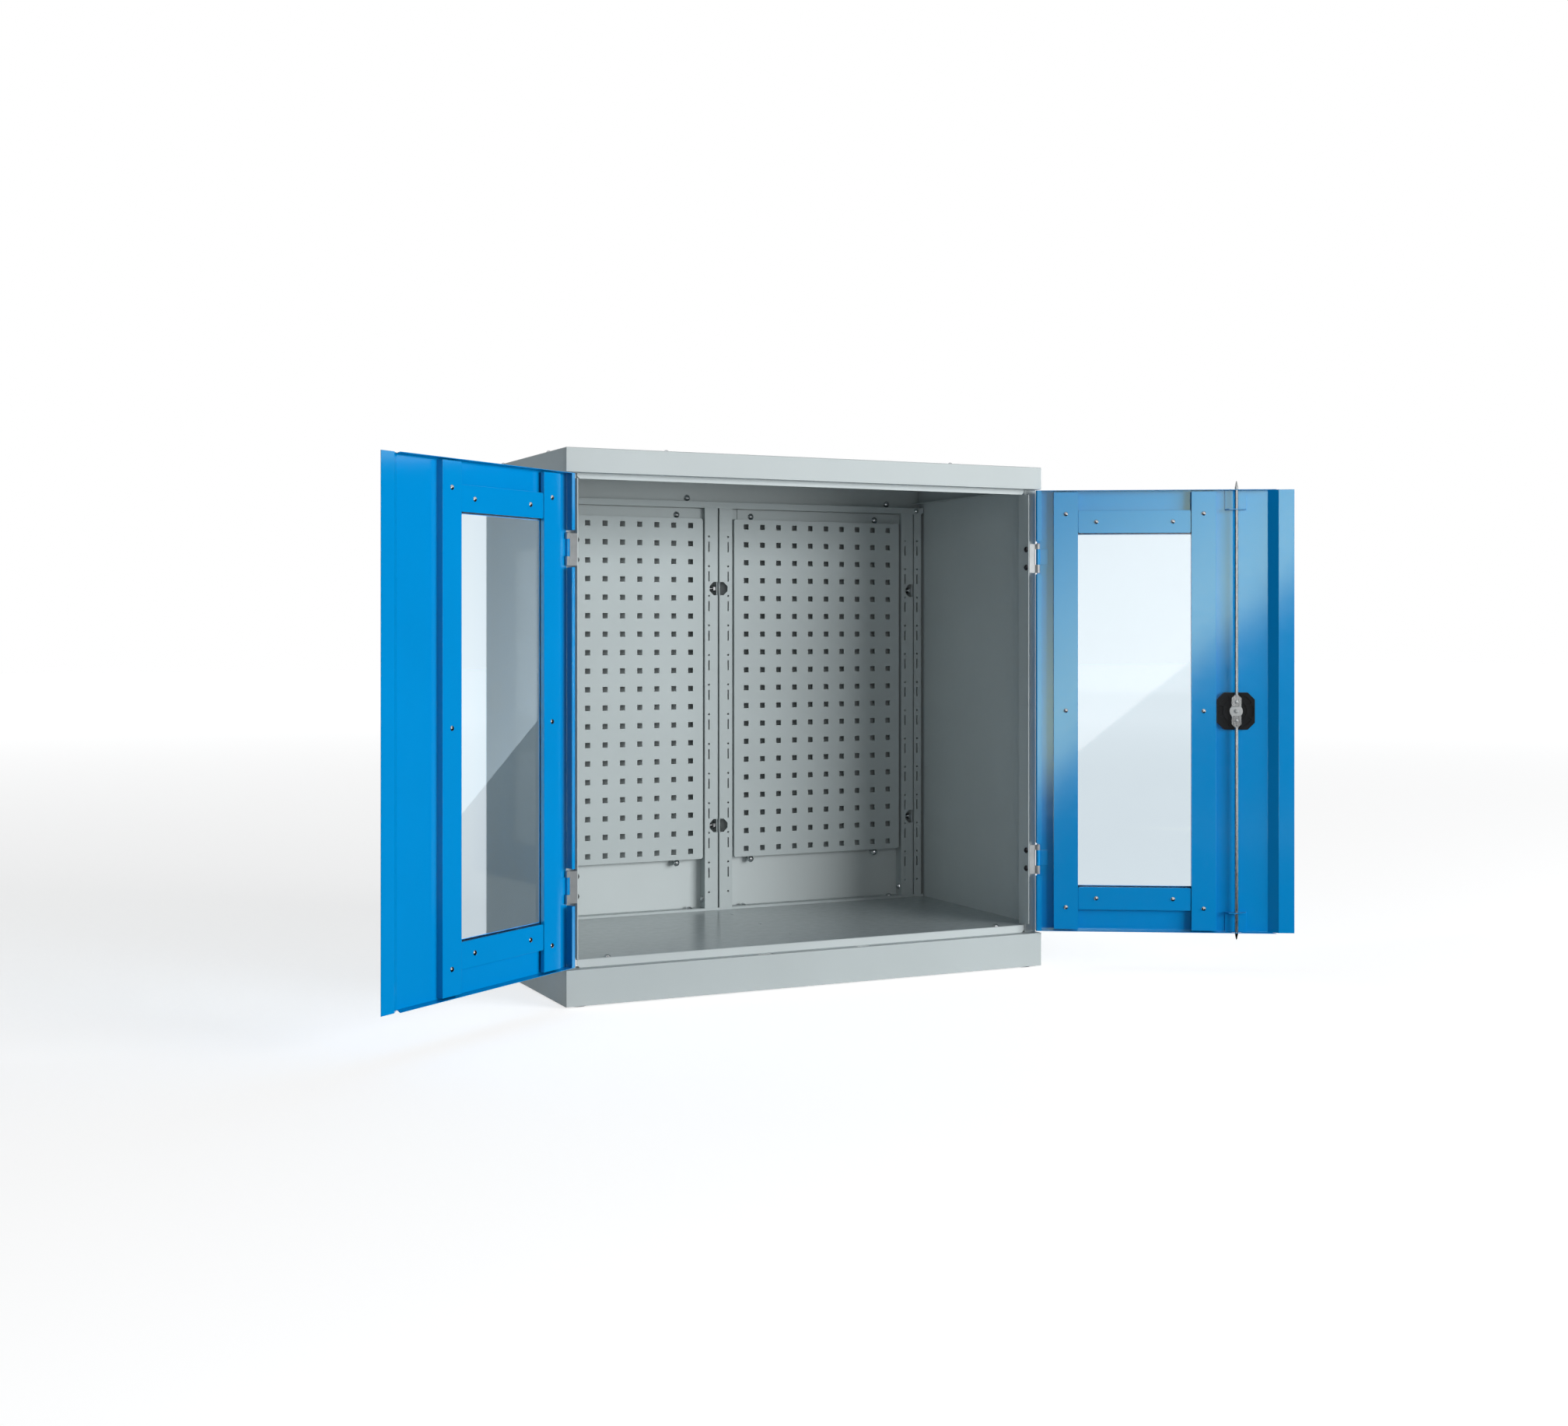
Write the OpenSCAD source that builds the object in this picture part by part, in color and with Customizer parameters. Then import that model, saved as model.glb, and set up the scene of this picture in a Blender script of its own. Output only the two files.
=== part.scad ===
// Tool cabinet with two windowed doors, standing on its plinth with both doors open.
// The frame's origin is the middle of the footprint on the floor, +X to the right, +Y to the back, +Z up.
// Depths called y in the modules are measured from the front face of the cap and plinth.

/* [Body] */
// Width over the cap and the plinth
body_w = 1000; // [900:10:1200]
// Depth over the cap and the plinth
body_d = 500; // [400:10:700]
// Height from the floor to the top of the cap
body_h = 1000; // [980:10:1200]
// Pitch of the three drain slits along the floor's middle
slit_pitch = 141.5; // [100:0.5:180]
// Distance of the middle slit behind the cabinet's middle
slit_shift = 12.5; // [0:0.5:20]
// Length of a drain slit
slit_l = 18; // [12:1:24]
// Width of a drain slit
slit_w = 2; // [1.5:0.25:3]
// Thickness of the body's steel sheet
body_sheet = 1.2; // [1:0.1:1.5]
// Height of the cap's fascia
cap_h = 44; // [40:1:60]
// Height of the plinth over the floor, feet included
plinth_top = 68; // [60:1:90]
// Width of the inward folds round the cap and the plinth
fold_w = 18; // [14:1:24]
// Depth of the plinth's front ledge
ledge_d = 37; // [35:1:45]
// Setback of the side walls from the cap's side faces
side_inset = 0.5; // [0.2:0.1:1]
// Distance of the cap's corner seam behind its front face
seam_y = 10; // [6:1:16]
// Width and depth of the seam's groove
seam_w = 0.6; // [0.4:0.1:0.8]
// Height of the feet
foot_h = 3; // [2:0.5:5]
// Radius of the bends along the cap's and plinth's edges
bend_r = 2; // [1.5:0.5:3]
// Radius of a foot
foot_r = 20; // [15:1:24]
// Distance of the feet's centres from the plinth's faces
foot_inset = 30; // [26:1:40]

/* [Front frame] */
// Depth at which the fixed lips stand behind closed doors
lip_y = 21; // [21:0.5:24]
// Drop of the top front rail below the cap
rail_drop = 10.2; // [8:0.2:14]
// Gap between the post and the ends of the front rail and the floor lip
rail_end_gap = 2; // [1:0.5:4]
// Corner cut of the front rail and the floor lip
rail_cut = 5; // [2:1:8]
// Depth of the top rail's seat on the cap's fold
rail_seat = 17; // [14:1:19]
// Height of the floor above the plinth
floor_lift = 15.1; // [12:0.1:20]
// Distance from the post's inner face to the cabinet's side face
post_w = 26; // [25:0.5:30]
// Thickness of the post's hemmed lip
post_lip_t = 2.4; // [2:0.1:3]
// Front edge of the post's lip
post_lip_y = 8; // [8:0.5:12]
// Height of the lip's lower end above the floor plate
lip_gap = 3; // [1:0.5:5]
// Back face of the post
post_back_y = 43.5; // [40:0.5:60]
// Width of the side wall's rear flange
rear_flange = 8; // [5:1:8]

/* [Perforated panels] */
// Distance of the panels' and uprights' front plane from the cap's back face
rack_d = 27; // [25:1:60]
// Gap between a panel and the upright in the middle
panel_gap = 4.5; // [3:0.5:8]
// Gap between a panel and the outer upright
panel_gap_out = 6; // [3:0.5:8]
// Distance from the panel's upper edge to the cap's underside
panel_drop = 46.4; // [46:0.2:60]
// Height of a panel's lower edge above the floor plate
panel_lift = 110; // [100:1:130]
// Pitch of the square holes
hole_pitch = 38; // [36:1:40]
// Width of a square hole
hole_w = 11; // [8:0.5:12]
// Least distance of the outer columns of holes from the panel's side
hole_side = 24; // [20:1:30]
// Height of the first row above the panel's lower edge
hole_row_1 = 17; // [14:1:24]
// Depth of the panel's folded rim
panel_rim = 10; // [8:1:12]
// Height of the panel's stepped upper mounting edge
panel_step = 21.5; // [18:0.5:22]
// Distance of the mounting edge's ends from the panel's side
step_inset = 11; // [8:1:20]
// Radius of the ears at the panel's lower edge
ear_r = 6.5; // [5:0.5:6.5]
// Radius of the spacers between the ears and the back panel
spacer_r = 5; // [4:0.5:6]
// Radius of the panel's corners
panel_corner = 5; // [3:1:8]
// Distance of a mounting edge's first screw from the panel's left side
panel_screw_left = 42.5; // [30:0.5:60]
// Distance of a mounting edge's second screw from the panel's right side
panel_screw_right = 56.5; // [30:0.5:60]
// Distance of those screws outside the panel's edge
panel_screw_edge = 7; // [7:0.5:10]

/* [Uprights] */
// Width of an upright
upright_w = 29.5; // [26:0.5:32]
// Width of the slim upright beside the side wall
slim_w = 18; // [16:0.5:20]
// Thickness of the uprights' sheet
upright_t = 1.5; // [1.2:0.1:2]
// Gap between two neighbouring uprights
upright_gap = 4; // [3:0.5:6]
// Gap between an outer upright and the slim one beside it
slim_gap = 3; // [2:0.5:5]
// Distance of the slim upright's holes from its inner edge
slim_dot_edge = 7.5; // [5:0.5:9]
// Height of the strip under the uprights
lower_rail_h = 5; // [4:0.5:8]
// Distance from the outer uprights' inner edge to the cabinet's side face
outer_in = 60; // [59:0.5:64]
// Height of the cross rail's face
cross_rail_h = 13.4; // [10:0.2:20]
// Distance from the cap's underside to the cross rail's top
cross_rail_drop = 10.6; // [8:0.2:20]
// Distance from the cross rail's ends to the cabinet's side faces
cross_rail_end = 4; // [3:0.5:10]
// Corner cut of the cross rail's ends
cross_rail_cut = 5; // [3:1:8]
// Height of the lowest round hole above the floor plate
dot_1 = 39; // [30:1:50]
// Pitch of the round holes
dot_pitch = 62.5; // [50:2.5:62.5]
// Radius of the round holes
dot_r = 2; // [1.5:0.25:2.5]
// Distance of the holes from the upright's edge
dot_edge = 9.5; // [8:0.5:12]
// Length of a hanging slot
slot_l = 21; // [16:1:26]
// Width of a hanging slot
slot_w = 2.5; // [2:0.25:3.5]
// Distance from a round hole down to the slot's middle
slot_drop = 21.7; // [18:0.1:26]
// Width of the octagonal windows across two uprights
octagon_w = 41; // [36:1:44]
// Height of the octagonal windows
octagon_h = 28; // [24:1:32]
// Corner cut of the octagonal windows
octagon_cut = 9; // [6:1:11]
// Height of the lower octagonal window above the floor plate
octagon_1 = 178.8; // [150:0.2:200]
// Depth of the upper octagonal window below the cap
octagon_drop = 193.6; // [150:0.2:220]
// Depth of the bolts between two uprights behind their front plane
bolt_back = 12; // [9:0.5:14]
// Radius of those bolts' nuts over the corners
nut_r = 7; // [6:0.5:8]
// Thickness of those nuts
nut_t = 6; // [4:0.5:7]
// Length of the bolts' threaded ends past the nuts
bolt_end = 8; // [4:0.5:10]

/* [Fasteners] */
// Radius of a cabinet screw's domed head
dome_r = 7; // [5:0.5:8]
// Height of a cabinet screw's domed head
dome_h = 4.4; // [3:0.2:6]
// Radius of a cabinet screw's shank
shank_r = 3; // [2.5:0.25:4]
// Radius of a cap screw's head
cap_dome_r = 5; // [4:0.5:6]
// Height of a cap screw's head
cap_dome_h = 4; // [2:0.5:4]
// Distance of the cap's front screws from its sides
cap_screw_in = 200; // [150:10:300]
// Depth of the cap's front screws behind its front face
cap_screw_y = 20; // [14:1:40]
// Distance of the cap's side screws from its sides
cap_screw_side = 8; // [7:1:12]
// Distance of the cap's side screws from its front face
cap_screw_front = 120; // [60:1:150]
// Distance of the cap's side screws from its back face
cap_screw_back = 98; // [60:1:150]
// Distance of the floor's front screws from the cabinet's sides
floor_screw_in = 88.5; // [60:0.5:120]
// Depth of the floor's front screws behind the cap's front face
floor_screw_y = 30; // [30:0.5:32]
// Distance of the outer rear screws from the cabinet's sides
rear_screw_in = 84; // [75:1:120]
// Distance of the inner rear screws from the cabinet's middle
rear_screw_mid = 62; // [45:1:80]
// Distance of the floor's rear screws from the cap's back face
rear_screw_y = 13; // [12:0.5:14]
// Depth of the back panel's screws below the cap
back_screw_drop = 2.4; // [2:0.2:6]
// Height of the uprights' side screws above the floor plate
base_screw_up = 23.6; // [18:0.2:30]
// Depth of the uprights' side screws behind their front plane
base_screw_back = 13; // [9:0.5:14]
// Distance of the cross rail's end screws from the cabinet's sides
black_screw_in = 22; // [18:0.5:28]
// Radius of a door screw's head
door_dome_r = 4.5; // [3:0.5:5]
// Height of a door screw's head
door_dome_h = 2.6; // [2:0.2:4]
// Radius of a door screw's stud
stud_r = 2; // [1.5:0.25:2.5]

/* [Doors] */
// Gap below the doors
door_gap_low = 5.4; // [4:0.2:7]
// Gap above the doors
door_gap_top = 2.7; // [2:0.1:4]
// Thickness of the doors' sheet
door_sheet = 1; // [0.8:0.1:1.2]
// Depth of the doors' folded edges
door_d = 20; // [19:0.5:20]
// Radius of the bends along the hinge side
door_bend = 3; // [2:0.5:3]
// Share of the slanted step over which the top and bottom folds reach
edge_reach = 0.7; // [0.5:0.05:0.8]
// Width of the hinge side's return
door_return = 11; // [8:0.5:12]
// Opening angle of the left door as it stands
left_open = 145; // [100:5:175]
// Opening angle of the right door as it stands
right_open = 150; // [100:5:175]
// Width of the slanted step before the free edge
step_w = 20; // [16:1:24]
// Width of the flat lip at the free edge
lip_w = 30.5; // [26:0.5:34]
// Distance of the right lip's edge past the cabinet's middle
right_overlap = 9.6; // [8:0.2:12]
// Distance of the left lip's edge past the cabinet's middle
left_overlap = 3.3; // [2:0.1:5]
// Depth of the right door's lip behind its front face
right_lip_y = 9.5; // [9:0.5:10]
// Depth of the left door's lip behind its front face
left_lip_y = 12.5; // [12:0.5:13]

/* [Door windows] */
// Distance from the hinge pin to the first upright rail
rail_x = 31; // [28:1:40]
// Distance of the upright rails' ends from the door's edges
rail_end = 3.3; // [2:0.1:6]
// Width of the upright rails
rail_w = 48; // [40:1:52]
// Distance from the outer upright rail to the lock housing
lock_gap = 3; // [2:0.5:10]
// Distance from the window to the door's upper and lower edges
window_end = 89.5; // [86:0.5:120]
// Height of the window's middle above the door's middle
window_lift = 1.2; // [0:0.1:3]
// Height of the clamp rails above and below the window
clamp_h = 45; // [38:1:48]
// Gap between the window and a clamp rail
clamp_gap = 3; // [1:0.5:4]
// Gap between a clamp rail and an upright rail
clamp_end_gap = 0.6; // [0.4:0.1:1]
// Height of the rails over the door's sheet
rail_h = 12; // [10:0.5:14]
// Depth by which the clamp rails lie lower than the upright rails
clamp_lower = 1.2; // [0.6:0.1:2]
// Thickness of the rails' sheet
rail_t = 1.2; // [1:0.1:1.5]
// Thickness of the glass
pane_t = 4; // [3:0.5:5]
// Width of the glass held behind the frame
pane_rim = 12; // [9:1:14]
// Thickness of the rubber strip under the glass
seal_t = 1; // [0.5:0.1:1.5]
// Distance of the rails' end screws from the door's edges
rail_screw_in = 47; // [30:1:60]
// Distance of the clamps' screws from the window's sides
clamp_screw_in = 36.3; // [25:0.1:50]

/* [Hinges] */
// Distance of the hinge pins inside the cabinet's side faces
hinge_in = 5; // [5:0.1:6]
// Depth of the hinge pins behind the front face
hinge_y = 5.5; // [5.4:0.1:6]
// Radius of the knuckles
knuckle_r = 4; // [3.6:0.1:4]
// Radius of the pins
pin_r = 2.5; // [2:0.1:2.8]
// Running clearance round the pins
pin_clear = 0.05; // [0.03:0.01:0.08]
// Gap between the door's flange and the cabinet's side face
flange_gap = 0.2; // [0.1:0.05:0.5]
// Height of the fixed upper knuckle
knuckle_top_h = 10; // [8:0.5:14]
// Height of the door's knuckle
knuckle_mid_h = 31; // [26:1:36]
// Height of the fixed lower knuckle
knuckle_low_h = 16.3; // [12:0.1:20]
// Gap between two knuckles
knuckle_gap = 0.3; // [0.2:0.1:0.5]
// Thickness of the hinge leaves
leaf_t = 2; // [1.5:0.1:2]
// Length of the door's leaf on its sheet
door_leaf_l = 20; // [16:1:22]
// Distance of the hinges' middles from the door's edges
hinge_end = 138.5; // [100:0.5:200]
// Radius of the cut-outs' corners
cutout_r = 4; // [2:1:5]
// Height of the hinges' middle above the door's middle
hinge_lift = 3; // [0:0.5:6]
// Room above and below a hinge in the door's folded edge
hinge_room = 3; // [2:0.5:6]
// Distance of the hinge screws from the hinge's middle
hinge_screw_z = 18; // [14:1:20]
// Depth of the hinge screws behind the front face
hinge_screw_y = 16; // [15:0.5:20]

/* [Lock] */
// Distance of the lock's axis from the cabinet's middle
lock_in = 104; // [95:1:110]
// Depth of the rods behind the door's front face
rod_y = 12.8; // [12.8:0.1:13.2]
// Radius of the rods
rod_r = 3.5; // [3:0.25:4]
// Reach of the upper rod above the door
rod_over = 16.6; // [14:0.2:20]
// Reach of the lower rod below the door
rod_under = 13.1; // [10:0.1:14]
// Length of the rods' points
rod_point = 12; // [8:1:16]
// Radius of the rods' blunt tips
rod_tip_r = 1; // [0.5:0.25:2]
// Radius on which the rods are pinned to the cam
cam_pin_r = 18.5; // [17:0.5:20]
// Radius of the cam's pins
rivet_r = 2.25; // [2:0.25:3]
// Width of the cam and of the rods' flat ends
cam_w = 19; // [17:0.5:19]
// Thickness of the cam and of the rods' flat ends
cam_t = 3; // [2.5:0.25:3]
// Radius of the cam's hub
hub_r = 12.7; // [11:0.1:14]
// Distance from the lock's axis to a flat end's inner edge
tab_in = 9; // [8.5:0.25:10]
// Corner cut of a flat end's inner edge
tab_cut = 2; // [1.5:0.5:4]
// Distance from the lock's axis to a flat end's shoulders
tab_out = 26; // [24:0.5:28]
// Distance from the lock's axis to the round rod
tab_neck = 32; // [30:0.5:36]
// Width of the lock housing
housing_w = 74; // [68:1:80]
// Corner cut of the lock housing
housing_cut = 14; // [10:1:18]
// Thickness of the lock housing
housing_t = 6.6; // [6:0.2:6.6]
// Radius of the spindle
spindle_r = 8; // [7:0.5:8]
// Width of the spindle's square end
square_w = 8; // [7:0.5:9]
// Radius of the cam screw's head
cam_screw_r = 4.8; // [4:0.2:5]
// Height of the cam screw's head
cam_screw_h = 3; // [2.5:0.5:4]
// Outer radius of the ring of pockets in the housing
pocket_out = 34.5; // [33:0.5:35]
// Inner radius of the ring of pockets in the housing
pocket_in = 25.5; // [24:0.5:27]
// Angle of the ribs between two pockets
pocket_rib = 8; // [4:1:12]
// Outer radius of the housing's round groove
groove_out = 21; // [19:0.5:22]
// Inner radius of the housing's round groove
groove_in = 15; // [13:0.5:16]
// Outer radius of the handle's dish
dish_r = 38; // [34:1:44]
// Inner radius of the dish's bowl
bowl_r = 27.5; // [26:0.5:28]
// Depth of the dish's bowl behind the door's front face
bowl_d = 2.5; // [2:0.5:3]
// Length of the handle's wing
wing_l = 62; // [54:1:70]
// Width of the handle's wing
wing_w = 14; // [12:1:18]
// Height of the handle in front of the door
handle_h = 22; // [18:1:28]
// Radius of the key cylinder
key_r = 9; // [7:0.5:10]
// Width of the catch slots for the rods
catch_w = 30; // [24:1:36]
// Clearance of the rods in their slots
rod_clear = 0.5; // [0.4:0.1:0.6]
// Sideways room of the rods in the guides
guide_room = 6; // [5.5:0.5:7]
// Width of the rod guides
guide_w = 42; // [38:1:46]
// Distance of the guides' lips from the door's edges
guide_end = 40; // [30:1:60]
// Thickness of the rod guides
guide_t = 1.5; // [1.2:0.1:2]

/* [Hidden] */
half_w = body_w / 2;
cap_z = body_h - cap_h;
side_x = half_w - side_inset;
post_x = half_w - post_w;
post_out = post_x + post_lip_t;
post_face_y = lip_y + body_sheet;
back_out = body_d - body_sheet;
back_y = back_out - body_sheet;
rack_y = body_d - rack_d;
floor_z = plinth_top + floor_lift;
wall_h = cap_z - plinth_top;
inner_x = side_x - body_sheet;
flange_y = back_y - body_sheet;
running = 0.3;
drill = 0.05;
smooth = 48;
fine = 32;

rail_half = post_x - rail_end_gap;
rail_low = cap_z - rail_drop;
outer_x = half_w - outer_in;
panel_x = upright_gap / 2 + upright_w + panel_gap;
panel_w = outer_x - panel_gap_out - panel_x;
panel_z = floor_z + panel_lift;
panel_h = cap_z - panel_drop - panel_z;
hole_cols = floor((panel_w - 2 * hole_side) / hole_pitch) + 1;
hole_rows = floor((panel_h - 2 * hole_row_1 + 2) / hole_pitch) + 1;
hole_x_1 = (panel_w - (hole_cols - 1) * hole_pitch) / 2;
rim_y = rack_y + panel_rim;
cross_top = cap_z - cross_rail_drop;
cross_low = cross_top - cross_rail_h;
cross_rail_half = half_w - cross_rail_end;
dot_count = floor((cross_low - floor_z - 2 * dot_1) / dot_pitch) + 1;
octagon_zs = [floor_z + octagon_1, cap_z - octagon_drop];
slim_x = outer_x + upright_w + slim_gap;
octagon_outer = outer_x + upright_w + slim_gap / 2;
foot_z = floor_z + lower_rail_h;
bolt_y = rack_y + bolt_back;

door_z = plinth_top + door_gap_low;
door_h = cap_z - door_gap_top - door_z;
door_mid = door_z + door_h / 2;
pin_x = half_w - hinge_in;
flange_x = -(hinge_in - flange_gap);
skin_y = -hinge_y;
skin_in = skin_y + door_sheet;
door_back = skin_y + door_d;
knuckle_h = knuckle_top_h + knuckle_mid_h + knuckle_low_h + 2 * knuckle_gap;
hinge_zs = [for (s = [-1, 1]) door_mid + hinge_lift + s * (door_h / 2 - hinge_end)];
leaf_y = hinge_y + knuckle_r - leaf_t;
leaf_end = pin_x - knuckle_r - 1.5;

catch_x = lock_in;
lock_x = pin_x - lock_in;
window_x = rail_x + rail_w;
window_w = lock_x - housing_w / 2 - lock_gap - rail_w - window_x;
window_h = door_h - 2 * window_end;
window_z = door_mid - window_h / 2 + window_lift;
rail_screw_z = door_h / 2 - rail_screw_in;
clamp_screw_x = window_w / 2 - clamp_screw_in;
rail_top = skin_in + rail_h;
clamp_top = rail_top - clamp_lower;
pane_y = skin_in + seal_t;
pane_front = pane_y + pane_t;
frame_l = door_h - 2 * rail_end;

rod_dy = rod_y - hinge_y;
tab_y = rod_dy - cam_t / 2;
cam_y = tab_y - running - cam_t;
housing_y = skin_in;
housing_top = housing_y + housing_t;
bowl_y = skin_y + bowl_d;
dish_t = 1.5;
hole_r = bowl_r + dish_t + 0.2;
rod_slot = 2 * (rod_r + guide_room);
rod_slot_d = 2 * (rod_r + rod_clear);
guide_z = door_h / 2 - guide_end;
cap_screws_at = concat([for (s = [-1, 1]) [s * (half_w - cap_screw_in), cap_screw_y]],
    [for (s = [-1, 1], y = [cap_screw_front, body_d - cap_screw_back]) [s * (half_w - cap_screw_side), y]]);
floor_screws_at = concat([for (s = [-1, 1]) [s * (half_w - floor_screw_in), floor_screw_y]],
    [for (x = [-half_w + rear_screw_in, -rear_screw_mid, rear_screw_mid, half_w - rear_screw_in])
        [x, body_d - rear_screw_y]]);
back_screws_at = [-half_w + rear_screw_in, -rear_screw_mid, half_w - rear_screw_in];
back_screw_z = cap_z - back_screw_drop;
base_screw_z = floor_z + base_screw_up;
base_screw_y = rack_y + base_screw_back;
black_screw_x = half_w - black_screw_in;

// ---- helpers ----

// Puts depths measured from the front face into the part's frame.
module from_front() {
    translate([0, -body_d / 2, 0]) children();
}

// A block between two corners.
module block(low, high) {
    translate(low) cube(high - low);
}

// An outline in X and Z, made solid from depth y0 to y1.
module slab(y0, y1) {
    translate([0, y1, 0]) rotate([90, 0, 0]) linear_extrude(y1 - y0) children();
}

// An outline in Y and Z, made solid from x0 to x1.
module bar(x0, x1) {
    translate([x0, 0, 0]) rotate([90, 0, 90]) linear_extrude(x1 - x0) children();
}

// A rectangle with cut corners.
module cut_rect(w, h, cut) {
    polygon([[-w / 2 + cut, -h / 2], [w / 2 - cut, -h / 2], [w / 2, -h / 2 + cut], [w / 2, h / 2 - cut],
        [w / 2 - cut, h / 2], [-w / 2 + cut, h / 2], [-w / 2, h / 2 - cut], [-w / 2, -h / 2 + cut]]);
}

// A rectangle from a corner with round corners.
module round_rect(w, h, r) {
    for (x = [r, w - r], y = [r, h - r]) translate([x, y]) circle(r, $fn = fine);
    translate([r, 0]) square([w - 2 * r, h]);
    translate([0, r]) square([w, h - 2 * r]);
}

// A domed head on the plane z = 0, a slice of a sphere.
module dome(r, h) {
    ball = (r * r + h * h) / (2 * h);
    intersection() {
        translate([0, 0, h - ball]) sphere(ball, $fn = smooth);
        cylinder(r = r, h = h, $fn = smooth);
    }
}

// A screw along +Z with its domed head over z = 0 and its shank below.
module screw(r, h, shank, length) {
    dome(r, h);
    translate([0, 0, -length]) cylinder(r = shank, h = length, $fn = fine);
}

// Turns +Z to face the front.
module facing_front() {
    rotate([90, 0, 0]) children();
}

// ---- body ----

// One row of catch slots for the rods, through a horizontal sheet.
module catch_slots(z) {
    for (s = [-1, 1]) block([s * catch_x - catch_w / 2, rod_y - rod_slot_d / 2, z - 5],
        [s * catch_x + catch_w / 2, rod_y + rod_slot_d / 2, z + 5]);
}

// A box as wide and deep as the cabinet, with bends along its upright edges and, on the cap, its top.
module bent_box(z0, z1, top_r) {
    intersection() {
        translate([-half_w, 0, z0]) linear_extrude(z1 - z0) round_rect(body_w, body_d, bend_r);
        bar(-half_w, half_w) bent_outline(0, body_d, z0, z1, top_r);
        slab(0, body_d) bent_outline(-half_w, half_w, z0, z1, top_r);
    }
}

// A rectangle with round upper corners where r is over 0.
module bent_outline(x0, x1, z0, z1, r) {
    translate([x0, z0]) square([x1 - x0, z1 - z0 - r]);
    if (r > 0) {
        translate([x0 + r, z0]) square([x1 - x0 - 2 * r, z1 - z0]);
        for (x = [x0 + r, x1 - r]) translate([x, z1 - r]) circle(r, $fn = smooth);
    }
}

module top_cap() {
    t = body_sheet;
    color([0.76, 0.79, 0.80]) from_front() difference() {
        bent_box(cap_z, body_h, bend_r);
        block([-half_w + t, t, cap_z + t], [half_w - t, body_d - t, body_h - t]);
        block([-half_w + fold_w, lip_y, cap_z - 1], [half_w - fold_w, body_d - t, cap_z + 2 * t]);
        block([-inner_x, back_y, cap_z - 1], [inner_x, back_out, cap_z + 2 * t]);
        catch_slots(cap_z);
        for (s = [-1, 1]) block([s * half_w - seam_w / 2, seam_y, cap_z + 2 * t],
            [s * half_w + seam_w / 2, seam_y + seam_w, body_h - 2 * t]);
        for (p = cap_screws_at) translate([p[0], p[1], body_h - 2 * t])
            cylinder(r = stud_r + drill, h = 4 * t, $fn = fine);
    }
}

module top_front_rail() {
    t = body_sheet;
    color([0.74, 0.77, 0.78]) from_front() difference() {
        union() {
            block([-rail_half, lip_y - rail_seat, cap_z + t], [rail_half, lip_y + t, cap_z + 2 * t]);
            slab(lip_y, lip_y + t) polygon([[-rail_half + rail_cut, rail_low],
                [rail_half - rail_cut, rail_low], [rail_half, rail_low + rail_cut],
                [rail_half, cap_z + 2 * t], [-rail_half, cap_z + 2 * t],
                [-rail_half, rail_low + rail_cut]]);
        }
        catch_slots(cap_z);
    }
}

// The wall, post and rear flange of the right side, seen from above.
module side_profile() {
    t = body_sheet;
    translate([inner_x, post_face_y]) square([t, back_out - post_face_y]);
    translate([post_out - 0.01, post_face_y]) square([side_x - post_out + 0.01, t]);
    translate([post_x, post_lip_y + post_lip_t / 2]) square([post_lip_t, post_back_y - post_lip_y - post_lip_t / 2]);
    translate([post_x + post_lip_t / 2, post_lip_y + post_lip_t / 2]) circle(post_lip_t / 2, $fn = smooth);
    translate([post_out - 0.01, post_back_y - t]) square([inner_x - post_out + 0.02, t]);
    translate([side_x - rear_flange, flange_y]) square([rear_flange, t]);
}

module right_side_panel() {
    color([0.72, 0.75, 0.76]) from_front() difference() {
        translate([0, 0, plinth_top]) linear_extrude(wall_h) side_profile();
        for (z = [[plinth_top - 1, floor_z + lip_gap], [rail_low, cap_z + 1]])
            block([post_x - 1, post_lip_y - 1, z[0]], [post_out + 1, post_face_y, z[1]]);
        hinge_screw_places() translate([0, 0, -5]) cylinder(r = shank_r + drill, h = 10, $fn = fine);
    }
}

module left_side_panel() {
    mirror([1, 0, 0]) right_side_panel();
}

module back_panel() {
    color([0.66, 0.69, 0.70]) from_front() difference() {
        block([-inner_x, back_y, plinth_top], [inner_x, back_out, body_h - body_sheet]);
        for (x = back_screws_at) translate([x, body_d + 1, back_screw_z]) facing_front()
            cylinder(r = shank_r + drill, h = 4, $fn = fine);
    }
}

module floor_panel() {
    t = body_sheet;
    low = floor_z - t;
    color([0.55, 0.58, 0.59]) from_front() difference() {
        union() {
            block([-rail_half, lip_y, low], [rail_half, post_back_y + 1, floor_z]);
            block([-inner_x, post_back_y, low], [inner_x, flange_y, floor_z]);
        }
        for (p = floor_screws_at) translate([p[0], p[1], low - 1])
            cylinder(r = shank_r + drill, h = 4, $fn = fine);
        for (k = [-1, 0, 1]) translate([-slit_w / 2, (body_d - slit_l) / 2 + slit_shift + k * slit_pitch, low - 1])
            cube([slit_w, slit_l, 4]);
    }
}

// The turned-down edges that carry the floor plate: its front lip and the flanges on the plinth.
module floor_edges() {
    t = body_sheet;
    low = floor_z - t;
    color([0.62, 0.65, 0.66]) from_front() {
        slab(lip_y, lip_y + t) polygon([[-rail_half + rail_cut, plinth_top],
            [rail_half - rail_cut, plinth_top], [rail_half, plinth_top + rail_cut],
            [rail_half, low], [-rail_half, low], [-rail_half, plinth_top + rail_cut]]);
        for (s = [-1, 1]) scale_x(s)
            block([inner_x - t, post_back_y, plinth_top], [inner_x, flange_y - 2 * t, low]);
        block([-inner_x + t, flange_y - t, plinth_top], [inner_x - t, flange_y, low]);
    }
}

// Keeps or mirrors its children about the cabinet's middle plane.
module scale_x(s) {
    if (s < 0) mirror([1, 0, 0]) children();
    else children();
}

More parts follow.
